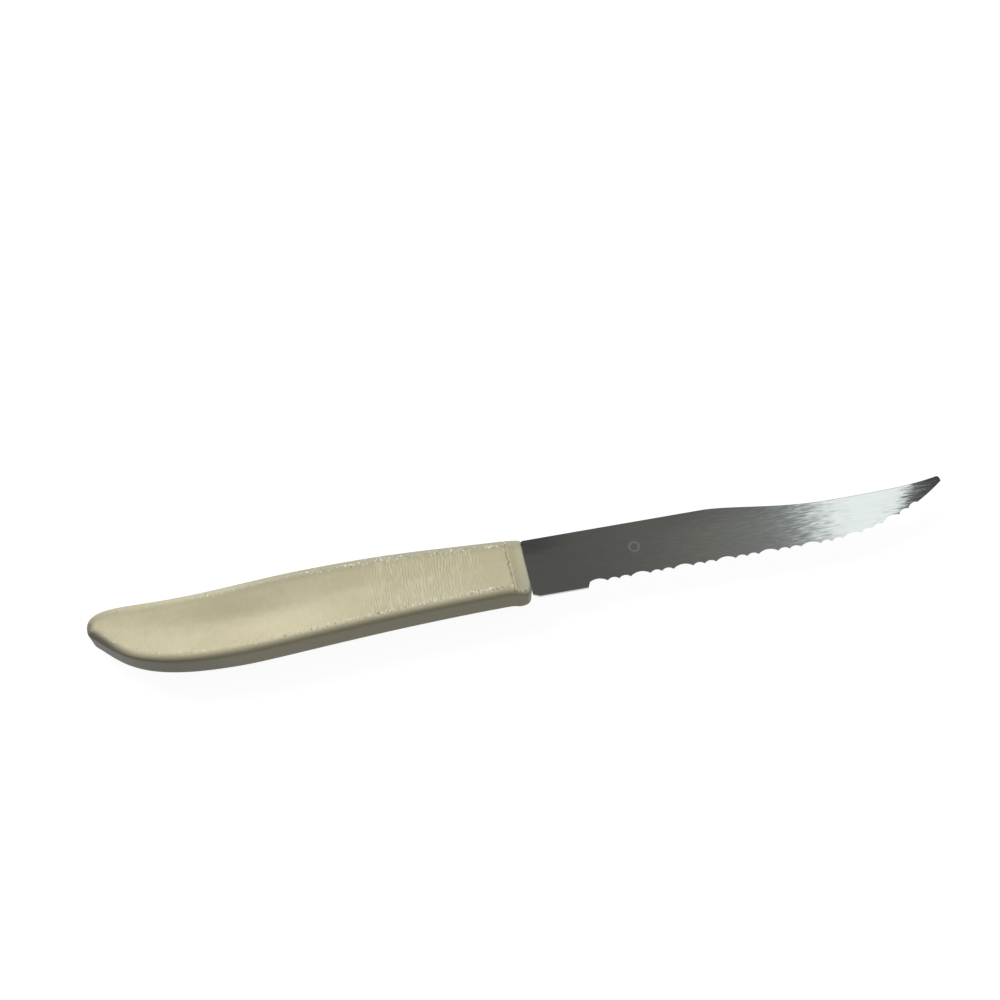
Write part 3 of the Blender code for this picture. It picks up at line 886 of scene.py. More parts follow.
@dataclass
class Handle:
    """The one-piece moulded handle, in millimetres and degrees.

    Values for two sides are the belly's, then the spine's. A row gap is what a row of points
    keeps from the plan's edge: the fillet's rows from the front, the rim's from the side, and
    the border's from both. A scatter gap is what the other points keep from the fillet, the
    rim and the border.
    """

    finish: CreamPlastic = CreamPlastic()
    wear_and_shade: WearAndShade = WearAndShade()
    slant: Slant = Slant()
    length: float = 109.6
    thickness: float = 12.5
    fillet: float = 1.9
    front_spine: float = 6.95
    front_taper: float = 3.0
    front_draw: float = 0.75
    front_corner: float = 1.6
    front_rim: float = 0.35
    front_reach: float = 3.0
    swell: Pair = (-43.0, 8.88)
    waist: Pair = (-92.0, 7.3)
    nose: Pair = (-109.6, 2.6)
    butt: Pair = (-107.9, 0.0)
    butt_slant: float = 43.0
    palm: Pair = (-74.0, -10.12)
    belly_rise: float = 0.5
    toe_station: float = 5.8
    toe_run: float = 3.8
    toe_swell: float = 0.42
    toe_rim: float = 0.9
    toe_rim_y: Pair = (-4.6, -6.4)
    side_rim_y: Pair = (0.0, 2.0)
    lip_length: float = 4.1
    lip_drop: Pair = (2.0, 0.6)
    lip_bow: float = 0.35
    lip_blend: float = 0.15
    border_depth: float = 0.14
    scoop_depth: float = 1.4
    scoop_span: Pair = (-106.5, -36.0)
    scoop_fullness: float = 0.85
    scoop_rim: float = 1.5
    crease_middle: Pair = (-70.0, -1.0)
    crease_reach: float = 30.0
    crease_rise: float = 2.5
    crease_round: float = 0.22
    low_rim: float = 0.6
    low_rim_span: Pair = (-72.0, -92.0)
    shoulder_round: float = 0.06
    ripple_pitch: float = 0.74
    ripple_depth: float = 0.06
    ripple_drift: float = 2.4
    drift_cells: Triple = (240.0, 210.0, 210.0)
    patch_cells: Triple = (620.0, 420.0, 420.0)
    patch_span: Pair = (0.38, 0.62)
    grit_size: float = 0.6
    grit_depth: float = 0.2
    seed: float = 2.0
    patch_seed: float = 4.0
    grit_seed: float = 9.0
    sharp_angle: float = 50.0
    side_pulls: tuple[Pair, ...] = ((0.5, 0.325), (0.55, 0.5), (0.58, 0.3), (0.5, 0.5),
                                    (0.215, 0.67), (0.154, 0.497), (0.45, 0.45))
    side_steps: tuple[int, ...] = (60, 60, 60, 60, 120, 60, 20)
    corner_steps: int = 16
    fillet_rows: int = 8
    wall_rows: int = 6
    rim_shares: tuple[float, ...] = (0.06, 0.18, 0.32, 0.5, 0.75, 1.0)
    border_rows: tuple[float, ...] = (-0.4, -0.24, -0.12, 0.0, 0.12, 0.24, 0.4)
    spacing: float = 0.25
    row_gap: Triple = (0.05, 0.03, 0.1)
    rear_pitch: Pair = (0.45, 0.45)
    fore_pitch: Pair = (0.3, 0.3)
    points_per_ripple: int = 7
    face_reach: float = 11.0
    ripple_reach: float = 10.0
    border_past: float = 1.5
    ripple_row_pitch: float = 0.5
    scatter_gap: Triple = (0.15, 0.12, 0.5)

    def side(self) -> np.ndarray:
        """The handle's side from the spine's front end, round the butt, to the belly's."""
        toe_root = (-self.toe_station, -self.slant.belly)
        toe = (self.toe_run - self.toe_station, -self.slant.belly - self.toe_swell)
        legs = (
            ((0.0, self.front_spine), 180.0 - self.front_taper, self.swell, 180.0),
            (self.swell, 180.0, self.waist, 180.0),
            (self.waist, 180.0, self.nose, -90.0),
            (self.nose, -90.0, self.butt, -self.butt_slant),
            (self.butt, -self.butt_slant, self.palm, 0.0),
            (self.palm, 0.0, toe_root, self.belly_rise),
            (toe_root, 0.0, toe, 0.0))
        curves = (bend(*leg, pulls, steps)
                  for leg, pulls, steps in zip(legs, self.side_pulls, self.side_steps))
        return respaced(np.concatenate([[(self.front_reach, self.front_spine)], *curves,
                                        [toe, (self.front_reach, toe[1])]]), self.spacing)

    def front(self) -> np.ndarray:
        """The front end from its round belly corner to where it is drawn in at the spine."""
        slant, radius = self.slant.angle, self.front_corner
        reach = radius + (radius - self.toe_swell) * math.sin(slant)
        centre = (-reach / math.cos(slant), radius - self.slant.belly - self.toe_swell)
        lower = arc(centre, radius, -90.0, self.slant.degrees, self.corner_steps)
        draw = (self.lip_length ** 2 + self.front_draw ** 2) / (2 * self.front_draw)
        start = self.slant.x(self.front_spine) - self.lip_length
        top = self.front_spine - start * math.tan(math.radians(self.front_taper))
        ahead = math.cos(slant) * start + math.sin(slant) * (top - draw + self.slant.belly)
        meeting = self.slant.degrees + math.degrees(math.acos(-ahead / draw))
        upper = arc((start, top - draw), draw, meeting, 90.0, self.corner_steps)
        line = straight(lower[-1], upper[0], self.spacing)[1:]
        return np.concatenate([lower, line, upper])

    def crease_y(self, x: np.ndarray) -> np.ndarray:
        """Where the scoop's crease runs."""
        away = (x - self.crease_middle[0]) / self.crease_reach
        return self.crease_middle[1] + self.crease_rise * away ** 2

    def scoop(self, plan: np.ndarray, depth: np.ndarray) -> np.ndarray:
        """How deep the scoop is at points, by their distances from the handle's side."""
        x, off = plan[:, 0], plan[:, 1] - self.crease_y(plan[:, 0])
        first, last = self.scoop_span
        along = np.clip((x - first) / (last - first), 0.0, 1.0)
        deepest = self.scoop_depth * np.sin(math.pi * along) ** self.scoop_fullness
        left = np.maximum(depth - self.scoop_rim, 0.0)
        share = np.abs(off) / np.maximum(np.abs(off) + left, TINY)
        full = math.hypot(1.0, self.crease_round) - self.crease_round
        slope = 1.0 - (np.hypot(share, self.crease_round) - self.crease_round) / full
        eased = slope ** 2 / (slope + self.shoulder_round) * (1.0 + self.shoulder_round)
        kept = np.where(off > 0.0, self.low_rim * ease(x, *self.low_rim_span), 0.0)
        return deepest * (kept + (1.0 - kept) * np.where(left > 0.0, eased, 0.0))

    @property
    def border_x(self) -> float:
        """Where the lip's border crosses the axis."""
        return self.slant.x(0.0) - self.lip_length

    def ahead(self, plan: np.ndarray) -> np.ndarray:
        """How far each point is ahead of the lip's border."""
        slant = self.slant.angle
        return (plan[:, 0] - self.border_x) * math.cos(slant) + plan[:, 1] * math.sin(slant)

    def spineward(self, y: np.ndarray) -> np.ndarray:
        """Share of the way from the front end's belly side to its spine side."""
        return (y + self.slant.belly) / (self.slant.belly + self.front_spine)

    def lip_fall(self, plan: np.ndarray) -> np.ndarray:
        """How far the lip has sunk at each point; it rises behind its border."""
        belly, spine = self.lip_drop
        share = self.ahead(plan) / self.lip_length
        bowed = share + self.lip_bow * share * (1.0 - share)
        return (belly + (spine - belly) * self.spineward(plan[:, 1])) * bowed

    def weights(self, plan: np.ndarray) -> dict[str, np.ndarray]:
        """The handle's ripple, grit, painted shade and painted light masks at plan points, by
        name.
        """
        return self.wear_and_shade.masks(plan, distance_to(self.side(), plan),
                               distance_to(self.front(), plan), self.ahead(plan),
                               self.spineward(plan[:, 1]))

    def height(self, plan: np.ndarray) -> np.ndarray:
        """Height of the upper face over mid thickness."""
        depth, from_front = distance_to(self.side(), plan), distance_to(self.front(), plan)
        y, half = plan[:, 1], self.thickness / 2
        rim = self.front_rim + (self.toe_rim - self.front_rim) * ease(y, *self.toe_rim_y)
        body = half - sunk(depth, self.fillet) - sunk(from_front, rim)
        body = body - self.scoop(plan, depth)
        side_rim = self.toe_rim + (self.fillet - self.toe_rim) * ease(y, *self.side_rim_y)
        edge = np.maximum(sunk(depth, side_rim), sunk(from_front, rim))
        lip = half - self.lip_fall(plan) - edge
        high = (body + lip - np.hypot(body - lip, self.lip_blend)) / 2
        high = high - self.border_depth * bell(self.ahead(plan), self.wear_and_shade.border_width)
        worked = self.weights(plan)
        return high - worked["ripple"] * self.ripple_depth - worked["rim"] * self.grit_depth / 2

    def slab(self) -> Slab:
        """Lay out the handle's plan, with rows of points where its faces turn."""
        side, front = self.side(), self.front()
        from_fillet, from_rim, from_border = self.row_gap
        upper = (side[:, 1] > 0) & (side[:, 0] < front[-1, 0] - from_border)
        lower = (side[:, 1] <= 0) & (side[:, 0] < front[0, 0] - from_border)
        lower |= side[:, 0] < -self.length / 2
        outline = np.concatenate([front, side[upper | lower]])
        lines = []

        def keep(line: np.ndarray, from_side: float, from_front: float) -> None:
            """Keep a row's points that are inside and some way from the side and the front."""
            lines.append(line[inside(outline, line) & (distance_to(side, line) >= from_side)
                              & (distance_to(front, line) >= from_front)])

        for row in range(1, self.fillet_rows + 1):
            turn = math.radians(90.0 * row / self.fillet_rows)
            keep(inset(side, self.fillet * (1.0 - math.cos(turn))), 0.0, from_fillet)
        for share in self.rim_shares:
            keep(inset(front, self.toe_rim * share), from_rim, 0.0)
        slant = self.slant.angle
        across = np.arange(-self.slant.belly, self.front_spine + self.border_past,
                           self.spacing)
        for run in self.border_rows:
            x = self.border_x + run / math.cos(slant) - across * math.tan(slant)
            keep(np.stack([x, across], 1), from_border, from_border)
        first, last = self.wear_and_shade.ripple_rear_x[0], self.wear_and_shade.ripple_fore_x[0]
        fine = (self.ripple_pitch / self.points_per_ripple, self.ripple_row_pitch)
        scatter = np.concatenate([
            grid((-self.length, -self.face_reach), (first, self.face_reach),
                 self.rear_pitch),
            grid((first, -self.ripple_reach), (last, self.ripple_reach), fine),
            grid((last, -self.face_reach), (0.0, self.face_reach), self.fore_pitch)])
        scatter = scatter[inside(outline, scatter)]
        from_side, from_front, from_border = self.scatter_gap
        clear = distance_to(side, scatter) > self.fillet + from_side
        clear &= distance_to(front, scatter) > self.toe_rim + from_front
        clear &= np.abs(self.ahead(scatter)) > from_border
        return Slab(outline, [], [], np.concatenate([*lines, scatter[clear]]), self.wall_rows)

    def relief_tree(self) -> bpy.types.NodeTree:
        """Build the tree that gives the handle its ripples and its gritty rim, in metres."""
        desk, given = start_tree("rippled_grip", "Ripple Pitch", "Ripple Depth", "Grit Size",
                                 "Grit Depth", "Seed")
        where = desk.add("GeometryNodeInputPosition").outputs[0]
        facing = desk.add("GeometryNodeInputNormal").outputs[0]
        drift = desk.noise(desk.vector("MULTIPLY", where, self.drift_cells), 1.0, given["Seed"])
        turns = desk.math("DIVIDE", desk.apart(where)["X"], given["Ripple Pitch"])
        phase = desk.blend(drift, self.ripple_drift, turns)
        wave = desk.math("SINE", desk.times(phase, 2 * math.pi))
        patch = desk.noise(desk.vector("MULTIPLY", where, self.patch_cells), 1.0,
                           desk.math("ADD", given["Seed"], self.patch_seed))
        ripple = desk.times(wave, desk.ramp(patch, *self.patch_span),
                            desk.stored("ripple", Data.NUMBER), given["Ripple Depth"])
        lumps = desk.noise(desk.scaled(where, desk.math("DIVIDE", 1.0, given["Grit Size"])), 2.0,
                           desk.math("ADD", given["Seed"], self.grit_seed))
        grit = desk.times(desk.math("SUBTRACT", lumps, 0.5), desk.stored("rim", Data.NUMBER))
        lift = desk.blend(grit, given["Grit Depth"], ripple)
        desk.finish(given["Geometry"], desk.scaled(facing, lift), given["Finish"])
        return desk.tree

    def build(self, origin: Triple, group: GrainGroup) -> bpy.types.Object:
        """Build and dress the handle.

        Args:
            origin: Place of the knife's own origin, in metres.
            group: The shared grain group.

        Returns:
            The finished piece.
        """
        piece = draw("handle_moulding", self.slab(), (self.height, lambda p: -self.height(p)),
                     self.weights, origin)
        bake_tree(piece, self.relief_tree(), {
            "Ripple Pitch": self.ripple_pitch * MM, "Ripple Depth": self.ripple_depth * MM,
            "Grit Size": self.grit_size * MM, "Grit Depth": self.grit_depth * MM,
            "Seed": self.seed, "Finish": self.finish.material(group)})
        shade(piece.data, self.sharp_angle)
        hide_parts("handle")
        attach(piece, BODY)
        return piece


@dataclass
class Blade:
    """The stamped and ground blade with its hidden tang, in millimetres and degrees.

    The row gaps are what the spine's rows keep from the tooth line, and the ground band's from
    the spine. The scatter gaps are what the other points keep from the spine, from the band
    and from the heel.
    """

    finish: BrushedSteel = BrushedSteel()
    slant: Slant = Slant()
    gap: float = 0.3
    length: float = 107.6
    thickness: float = 1.0
    edge_thickness: float = 0.05
    spine: float = 7.9
    spine_corner: float = 0.8
    spine_rim: float = 0.12
    rim_shares: Pair = (0.3, 1.0)
    drop_x: float = 45.7
    hollow: Pair = (78.7, 4.7)
    top: Pair = (106.6, 6.1)
    tip: Pair = (107.6, 5.1)
    tip_rise: float = 10.0
    tip_land: float = 0.4
    heel: float = 7.2
    heel_chamfer: Pair = (1.6, 0.7)
    belly_radius: float = 56.0
    plain_heel: float = 13.95
    first_step: float = 0.6
    plain_tip: float = 8.5
    tooth_step: float = 0.95
    wide_pitch: float = 5.07
    wide_depth: float = 0.87
    narrow_pitch: float = 2.93
    narrow_depth: float = 0.62
    narrow_count: int = 2
    grind_width: float = 3.0
    grind_taper: float = 14.0
    grind_least: float = 0.12
    grind_rows: tuple[float, ...] = (0.12, 0.4, 0.7, 1.0)
    least_room: float = 0.3
    tang_length: float = 62.0
    tang_height: float = 9.0
    tang_corner: float = 2.5
    hole_radius: float = 2.0
    hole_x: Pair = (-17.0, -47.0)
    spine_pulls: tuple[Pair, ...] = ((0.35, 0.35), (0.26, 0.51), (0.4, 0.22))
    spine_steps: tuple[int, ...] = (12, 60, 60)
    corner_steps: int = 8
    hole_steps: int = 28
    wall_rows: int = 2
    sharp_angle: float = 18.0
    spacing: float = 0.2
    heel_spacing: float = 0.5
    spine_spacing: float = 0.6
    tang_spacing: float = 2.0
    row_gap: Pair = (0.4, 0.25)
    scatter_x: float = 1.5
    scatter_y: Pair = (-8.0, 8.5)
    scatter_pitch: Pair = (0.7, 0.7)
    scatter_gap: tuple[float, ...] = (0.45, 0.3, 0.4)

    @property
    def base_y(self) -> float:
        """Offset of the straight line that the tooth points lie on."""
        return self.tooth_step - self.heel

    @property
    def sweep(self) -> float:
        """Angle of the belly's arc, in radians."""
        rise = self.tip[1] - self.tip_land - self.base_y
        return math.acos(1.0 - rise / self.belly_radius)

    @property
    def bend_x(self) -> float:
        """Where the tooth line starts to curve up."""
        return self.length - self.belly_radius * math.sin(self.sweep)

    @property
    def run_length(self) -> float:
        """Length of the tooth line from the first scallop to the tip."""
        return self.bend_x - self.plain_heel + self.belly_radius * self.sweep

    @property
    def stops(self) -> list[float]:
        """Distances along the tooth line from its start to the end of each whole scallop."""
        pitches = [self.wide_pitch] + [self.narrow_pitch] * self.narrow_count
        ends = [0.0]
        while True:
            reached = ends[-1] + pitches[(len(ends) - 1) % len(pitches)]
            if reached > self.run_length - self.plain_tip:
                return ends
            ends.append(reached)

    def on_line(self, run: np.ndarray, away: np.ndarray | float = 0.0) -> np.ndarray:
        """Place points by the tooth line.

        Args:
            run: Distance along the line from the first scallop.
            away: Distance from the line into the blade.

        Returns:
            The points.
        """
        flat = self.bend_x - self.plain_heel
        angle = np.maximum(run - flat, 0.0) / self.belly_radius
        reach = self.belly_radius - away
        x = np.where(run <= flat, self.plain_heel + run, self.bend_x + reach * np.sin(angle))
        y = np.where(run <= flat, self.base_y + away,
                     self.base_y + self.belly_radius - reach * np.cos(angle))
        return np.stack([x, y], 1)

    def by_line(self, plan: np.ndarray) -> tuple[np.ndarray, np.ndarray, np.ndarray]:
        """Measure points by the tooth line.

        Args:
            plan: The points.

        Returns:
            Their distances along the line and from it, and the way into the blade.
        """
        flat = self.bend_x - self.plain_heel
        ahead = plan[:, 0] - self.bend_x
        down = self.base_y + self.belly_radius - plan[:, 1]
        angle = np.arctan2(np.maximum(ahead, 0.0), down)
        bent = ahead > 0
        run = np.where(bent, flat + self.belly_radius * angle, plan[:, 0] - self.plain_heel)
        away = np.where(bent, self.belly_radius - np.hypot(ahead, down),
                        plan[:, 1] - self.base_y)
        return run, away, np.stack([-np.sin(angle), np.cos(angle), np.zeros(len(plan))], 1)

    def ground_width(self, run: np.ndarray) -> np.ndarray:
        """Width of the ground band, which narrows towards the tip."""
        share = (self.run_length - run) / self.grind_taper
        return self.grind_width * np.clip(share, self.grind_least, 1.0)

    def spine_path(self) -> np.ndarray:
        """The blunt side from the tip back to the shoulder."""
        drop, rise = (self.drop_x, self.spine), 180.0 + self.tip_rise
        legs = ((self.tip, 90.0, self.top, rise), (self.top, rise, self.hollow, 180.0),
                (self.hollow, 180.0, drop, 180.0))
        corner_y = self.spine - self.spine_corner
        corner_x = self.slant.x(corner_y) + self.spine_corner
        return np.concatenate([
            *(bend(*leg, pulls, steps)
              for leg, pulls, steps in zip(legs, self.spine_pulls, self.spine_steps)),
            straight(drop, (corner_x, self.spine), self.spine_spacing),
            arc((corner_x, corner_y), self.spine_corner, 90.0, 180.0, self.corner_steps)])

    def tang_path(self) -> np.ndarray:
        """The hidden root from the shoulder's spine side round to its edge side."""
        half, radius, steps = self.tang_height / 2, self.tang_corner, self.corner_steps
        rear, apart = radius - self.tang_length, self.tang_spacing
        return np.concatenate([
            straight((self.slant.x(half), half), (rear, half), apart),
            arc((rear, half - radius), radius, 90.0, 180.0, steps),
            arc((rear, radius - half), radius, 180.0, 270.0, steps),
            straight((rear, -half), (self.slant.x(-half), -half), apart)[1:]])

    def tooth_runs(self) -> np.ndarray:
        """Distances along the tooth line, with one at every tooth point."""
        marks = [self.first_step, *self.stops[1:], self.run_length]
        runs = [np.linspace(low, high, max(2, round((high - low) / self.spacing)), endpoint=False)
                for low, high in zip(marks[:-1], marks[1:])]
        return np.concatenate([*runs, [self.run_length]])

    def slab(self) -> Slab:
        """Lay out the blade's plan before its scallops are ground."""
        half, low = self.tang_height / 2, -self.heel
        rise = self.heel_chamfer[1] + low
        teeth, spine = self.tooth_runs(), self.spine_path()
        heel = straight((self.slant.x(low) + self.heel_chamfer[0], low), (self.plain_heel, low),
                        self.heel_spacing)
        outline = np.concatenate([
            [(self.slant.x(-half), -half), (self.slant.x(rise), rise)], heel,
            [(self.plain_heel, low)], self.on_line(teeth), spine, self.tang_path()])
        from_teeth, from_spine = self.row_gap
        lines = []
        for share in self.rim_shares:
            ring = inset(spine[:-1], self.spine_rim * share)
            ring = ring[inside(outline, ring)]
            lines.append(ring[self.by_line(ring)[1] > from_teeth])
        wide = self.ground_width(teeth)
        for share in self.grind_rows:
            row = self.on_line(teeth, wide * share)
            lines.append(row[inside(outline, row) & (distance_to(spine, row) > from_spine)])
        belly, back = self.scatter_y
        scatter = grid((self.scatter_x, belly), (self.length, back), self.scatter_pitch)
        scatter = scatter[inside(outline, scatter)]
        run, away, _ = self.by_line(scatter)
        from_spine, from_band, from_heel = self.scatter_gap
        clear = distance_to(spine, scatter) > from_spine
        clear &= (away > self.ground_width(run) + from_band) | (run < -from_heel)
        clear &= distance_to(heel, scatter) > from_heel
        holes = [arc((x, 0.0), self.hole_radius, 360.0, 0.0, self.hole_steps)[:-1]
                 for x in self.hole_x]
        return Slab(outline, holes, lines, scatter[clear], self.wall_rows)

    def upper(self, plan: np.ndarray) -> np.ndarray:
        """Height of the upper face, with its spine edge broken."""
        return self.thickness / 2 - sunk(distance_to(self.spine_path(), plan), self.spine_rim)

    def lower(self, plan: np.ndarray) -> np.ndarray:
        """Height of the lower face, with the band ground up to the cutting edge."""
        run, away, _ = self.by_line(plan)
        share = np.clip(1.0 - away / self.ground_width(run), 0.0, 1.0)
        ground = (run > self.first_step / 2) & (plan[:, 0] > 0.0)
        lift = (self.thickness - self.edge_thickness) * share * ground
        high = self.upper(plan)
        return np.minimum(np.maximum(-high, lift - self.thickness / 2),
                          high - self.edge_thickness)

    def weights(self, plan: np.ndarray) -> dict[str, np.ndarray]:
        """What the scallop tree reads at each vertex.

        Args:
            plan: Plan point of each vertex.

        Returns:
            Distance along the tooth line in metres, how much a scallop moves the vertex,
            and the way it moves, by name.
        """
        run, away, inward = self.by_line(plan)
        past = away - self.ground_width(run)
        room = np.maximum(distance_to(self.spine_path(), plan) + past, self.least_room)
        ground = (run > self.first_step / 2) & (run < self.stops[-1] + TINY)
        bite = (1.0 - ease(past, 0.0, room)) * ground * (plan[:, 0] > 0.0)
        return {"run": run * MM, "bite": bite, "inward": inward}

    def scallop_tree(self) -> bpy.types.NodeTree:
        """Build the tree that repeats one wide and some narrow scallops, in metres."""
        desk, given = start_tree("scalloped_edge", "Wide Pitch", "Wide Depth", "Narrow Pitch",
                                 "Narrow Depth", "Narrow Count")
        wide, narrow = given["Wide Pitch"], given["Narrow Pitch"]
        period = desk.math("ADD", wide, desk.times(narrow, given["Narrow Count"]))
        within = desk.math("FLOORED_MODULO", desk.stored("run", Data.NUMBER), period)
        is_wide = desk.math("LESS_THAN", within, wide)
        pitch = desk.pick(is_wide, narrow, wide)
        depth = desk.pick(is_wide, given["Narrow Depth"], given["Wide Depth"])
        past = desk.math("FLOORED_MODULO", desk.math("SUBTRACT", within, wide), narrow)
        local = desk.pick(is_wide, past, within)
        half = desk.math("DIVIDE", pitch, 2.0)
        squares = desk.math("ADD", desk.math("POWER", half, 2.0), desk.math("POWER", depth, 2.0))
        radius = desk.math("DIVIDE", squares, desk.times(depth, 2.0))
        off = desk.math("POWER", desk.math("SUBTRACT", local, half), 2.0)
        chord = desk.math("SQRT", desk.math("SUBTRACT", desk.math("POWER", radius, 2.0), off))
        sag = desk.math("SUBTRACT", chord, desk.math("SUBTRACT", radius, depth))
        shift = desk.times(sag, desk.stored("bite", Data.NUMBER))
        desk.finish(given["Geometry"], desk.scaled(desk.stored("inward", Data.VECTOR), shift),
                    given["Finish"])
        return desk.tree

    def build(self, origin: Triple, group: GrainGroup) -> bpy.types.Object:
        """Build and dress the blade.

        Args:
            origin: Place of the knife's own origin, in metres.
            group: The shared grain group.

        Returns:
            The finished piece.
        """
        x, y, z = origin
        piece = draw("blade_steel", self.slab(), (self.upper, self.lower), self.weights,
                     (x + self.gap * MM, y, z))
        bake_tree(piece, self.scallop_tree(), {
            "Wide Pitch": self.wide_pitch * MM, "Wide Depth": self.wide_depth * MM,
            "Narrow Pitch": self.narrow_pitch * MM, "Narrow Depth": self.narrow_depth * MM,
            "Narrow Count": float(self.narrow_count), "Finish": self.finish.material(group)})
        shade(piece.data, self.sharp_angle)
        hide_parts("blade")
        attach(piece, BODY)
        return piece


@dataclass
class Studio:
    """Pale floor, soft lamp, reflector sheets and the camera, in metres.

    A glow is an emission's strength; a span holds the places of its first and last value.
    """

    target: Triple = (-0.0021035, 0.022646, 0.000043)
    azimuth: float = -10.339
    elevation: float = 70.0
    distance: float = 0.515585
    lens: float = 72.18
    sensor: float = 36.0
    near: float = 0.01
    floor_size: float = 6.0
    floor_grey: float = 0.14
    floor_bounce: float = 0.1
    floor_glow: float = 0.93
    key_place: Triple = (-0.37, 0.52, 0.52)
    key_size: float = 0.5
    key_power: float = 7.15
    key_colour: Triple = (1.0, 0.99, 0.97)
    ambient: float = 0.32
    card: tuple[Pair, ...] = ((0.102, 0.02), (0.1203, 0.02), (0.1851, 0.11), (0.104, 0.11))
    card_height: float = 0.20
    card_glow: Pair = (0.36, 1.52)
    card_span: Pair = (0.106, 0.131)
    card_colour: Triple = (0.93, 0.99, 1.0)
    flag: tuple[Pair, ...] = ((-0.5, -0.35), (0.55, -0.35), (0.55, 0.6), (-0.5, 0.6))
    flag_height: float = 0.24
    flag_glow: float = 0.147
    flag_rise: float = 0.24
    flag_span: Pair = (0.02, 0.125)
    flag_past: float = 0.02
    flag_end: Pair = (0.166, 0.177)
    flag_end_share: float = 0.6
    flag_dim_x: Pair = (0.055, 0.078)
    flag_dim_y: Pair = (0.0785, 0.085)
    flag_dim: float = 0.2
    flag_warm: Triple = (0.97, 0.985, 0.905)
    flag_cool: Triple = (0.94, 1.0, 1.03)
    flag_cool_span: Pair = (0.65, 1.0)

    def aimed(self, name: str, data: Any, place: Vector, way: Vector) -> bpy.types.Object:
        """Put a camera or a lamp at a place, facing along a way."""
        made = add_object(name, data)
        made.location = place
        made.rotation_euler = way.to_track_quat("-Z", "Y").to_euler()
        return made

    def camera(self) -> None:
        """Place the camera as the photograph's was."""
        data = bpy.data.cameras.new("camera")
        data.lens, data.sensor_width, data.clip_start = self.lens, self.sensor, self.near
        turn, rise = math.radians(self.azimuth), math.radians(self.elevation)
        back = Vector((math.sin(turn) * math.cos(rise), -math.cos(turn) * math.cos(rise),
                       math.sin(rise)))
        place = Vector(self.target) + back * self.distance
        bpy.context.scene.camera = self.aimed("camera", data, place, -back)

    def lamp(self) -> None:
        """Hang the large soft key lamp behind the knife."""
        data = bpy.data.lights.new("key", "AREA")
        data.shape, data.size = "DISK", self.key_size
        data.energy, data.color = self.key_power, self.key_colour
        place = Vector(self.key_place)
        made = self.aimed("key", data, place, -place)
        made.visible_camera = made.visible_glossy = False

    def seen(self, desk: NodeDesk) -> bpy.types.NodeSocket:
        """1 for what the camera sees, directly or by gloss or transmission."""
        path = desk.add("ShaderNodeLightPath").outputs
        first = desk.math("MAXIMUM", path["Is Camera Ray"], path["Is Glossy Ray"])
        return desk.math("MAXIMUM", first, path["Is Transmission Ray"])

    def world(self) -> None:
        """Make the surroundings white to look at and soft as a light."""
        world = bpy.data.worlds.new("surroundings")
        world.use_nodes = True
        bpy.context.scene.world = world
        desk = NodeDesk(world.node_tree)
        desk.fill(world.node_tree.nodes["Background"], {
            "Color": (1.0, 1.0, 1.0, 1.0),
            "Strength": desk.pick(self.seen(desk), self.ambient, 1.0)})

    def sheet(self, name: str, corners: Sequence[Pair], height: float, look_name: str,
              look: Callable[[NodeDesk], bpy.types.Node]) -> bpy.types.Object:
        """Add a level sheet that isn't part of the knife.

        Args:
            name: Its name.
            corners: Its corners, counterclockwise.
            height: Its height over the floor.
            look_name: Name of its material.
            look: Draws the material on a node desk and gives its last shader node.

        Returns:
            The object.
        """
        material, desk = new_material(look_name)
        nodes = material.node_tree.nodes
        nodes.remove(nodes["Principled BSDF"])
        desk.feed(nodes["Material Output"].inputs["Surface"], look(desk).outputs[0])
        mesh = bpy.data.meshes.new(name)
        mesh.from_pydata([(x, y, height) for x, y in corners], [], [tuple(range(len(corners)))])
        mesh.materials.append(material)
        made = add_object(name, mesh)
        return made

    def glow(self, desk: NodeDesk, colour: Any, strength: Any) -> bpy.types.Node:
        """Add a shader that only glows."""
        node = desk.add("ShaderNodeEmission")
        desk.fill(node, {"Color": colour, "Strength": strength})
        return node

    def floor_look(self, desk: NodeDesk) -> bpy.types.Node:
        """A pale glowing floor that keeps a faint shadow, and reflects little light back."""
        grey = []
        for value in (self.floor_bounce, self.floor_grey):
            grey.append(desk.add("ShaderNodeBsdfDiffuse"))
            desk.feed(grey[-1].inputs["Color"], (value, value, value, 1.0))
        glow = self.glow(desk, (1.0, 1.0, 1.0, 1.0), self.floor_glow)
        pale, mix = desk.add("ShaderNodeAddShader"), desk.add("ShaderNodeMixShader")
        for node, sources in ((pale, (grey[1].outputs[0], glow.outputs[0])),
                              (mix, (self.seen(desk), grey[0].outputs[0], pale.outputs[0]))):
            for target, source in zip(node.inputs, sources):
                desk.feed(target, source)
        return mix

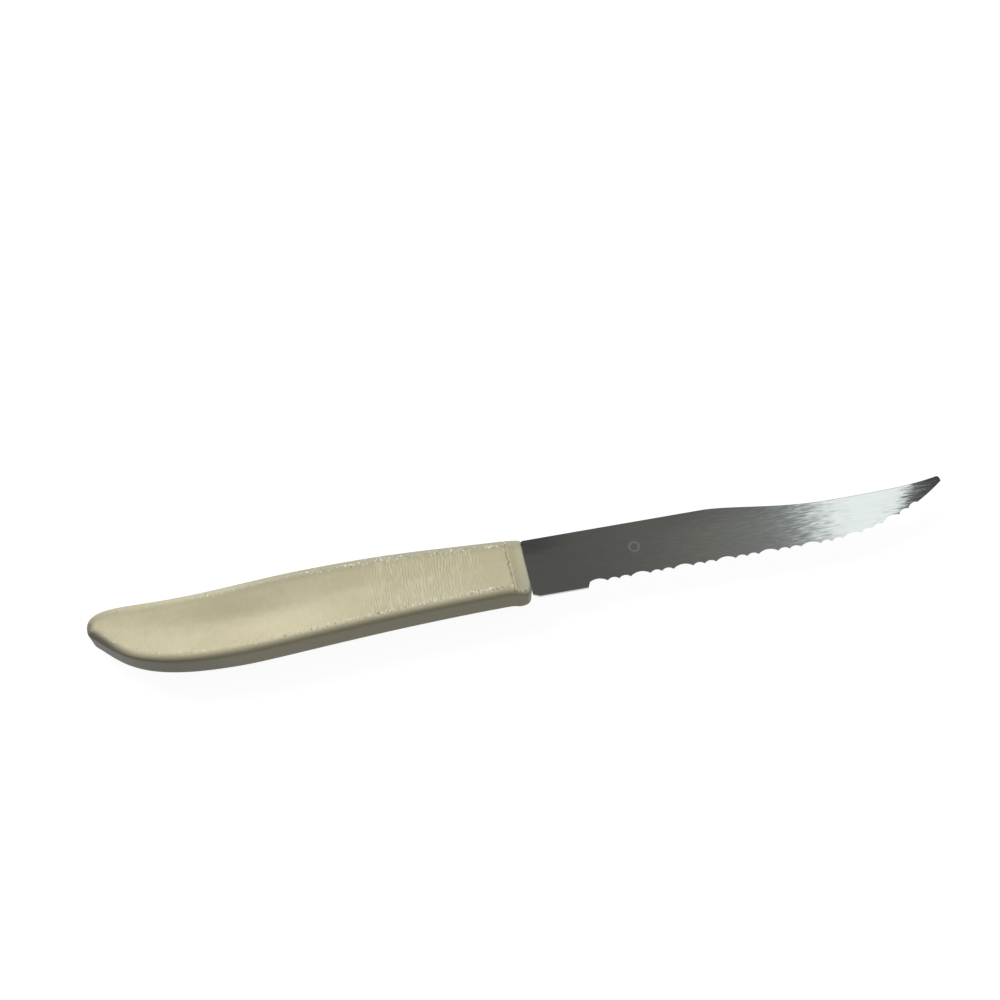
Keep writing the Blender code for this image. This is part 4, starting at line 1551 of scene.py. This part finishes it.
    def flag_look(self, desk: NodeDesk) -> bpy.types.Node:
        """The dark flag's glow, brighter and cooler towards the card."""
        apart = desk.apart(desk.add("ShaderNodeTexCoord").outputs["Object"])
        first, last = self.flag_span
        share = desk.math("DIVIDE", desk.math("SUBTRACT", apart["X"], first), last - first)
        rise = desk.math("POWER", desk.math("MAXIMUM", share, 0.0), 2.0)
        past = desk.ramp(apart["X"], last + self.flag_past, last)
        end = desk.pick(desk.ramp(apart["X"], *self.flag_end), 1.0, self.flag_end_share)
        dim = desk.times(desk.ramp(apart["X"], *self.flag_dim_x),
                         desk.ramp(apart["Y"], *self.flag_dim_y))
        strength = desk.times(desk.blend(desk.times(rise, past), self.flag_rise, self.flag_glow),
                              end, desk.pick(dim, 1.0, 1.0 - self.flag_dim))
        cool = desk.ramp(share, *self.flag_cool_span)
        return self.glow(desk, desk.mixed(cool, self.flag_warm, self.flag_cool), strength)

    def card_look(self, desk: NodeDesk) -> bpy.types.Node:
        """The bright card's glow, which sets in over some of its width."""
        apart = desk.apart(desk.add("ShaderNodeTexCoord").outputs["Object"])
        strength = desk.pick(desk.ramp(apart["X"], *self.card_span), *self.card_glow)
        return self.glow(desk, (*self.card_colour, 1.0), strength)

    def sheets(self) -> None:
        """Lay the floor, and hang the flag and the card that the steel reflects."""
        half = self.floor_size / 2
        around = ((-half, -half), (half, -half), (half, half), (-half, half))
        self.sheet("floor", around, 0.0, "pale_floor", self.floor_look)
        for made in (
                self.sheet("flag", self.flag, self.flag_height, "dark_flag", self.flag_look),
                self.sheet("card", self.card, self.card_height, "bright_card", self.card_look)):
            made.visible_camera = made.visible_diffuse = False
            made.visible_shadow = made.visible_transmission = False

    def build(self) -> None:
        """Set up everything round the knife."""
        self.camera()
        self.world()
        self.sheets()
        self.lamp()
        bpy.context.scene.view_settings.view_transform = "Standard"


def knife_origin(handle: Handle) -> Triple:
    """Find where the knife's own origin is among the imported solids, in metres."""
    low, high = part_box("handle")
    return (low[0] + handle.length * MM, low[1] - handle.palm[1] * MM, (low[2] + high[2]) / 2)


def main() -> None:
    """Build the knife and its studio."""
    logging.basicConfig(level=logging.INFO, format="%(message)s")
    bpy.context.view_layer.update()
    handle, blade = Handle(), Blade()
    origin = knife_origin(handle)
    group = GrainGroup()
    for part in (handle, blade):
        piece = part.build(origin, group)
        logging.info("%s: %d faces", piece.name, len(piece.data.polygons))
    Studio().build()


if __name__ == "__main__":
    main()
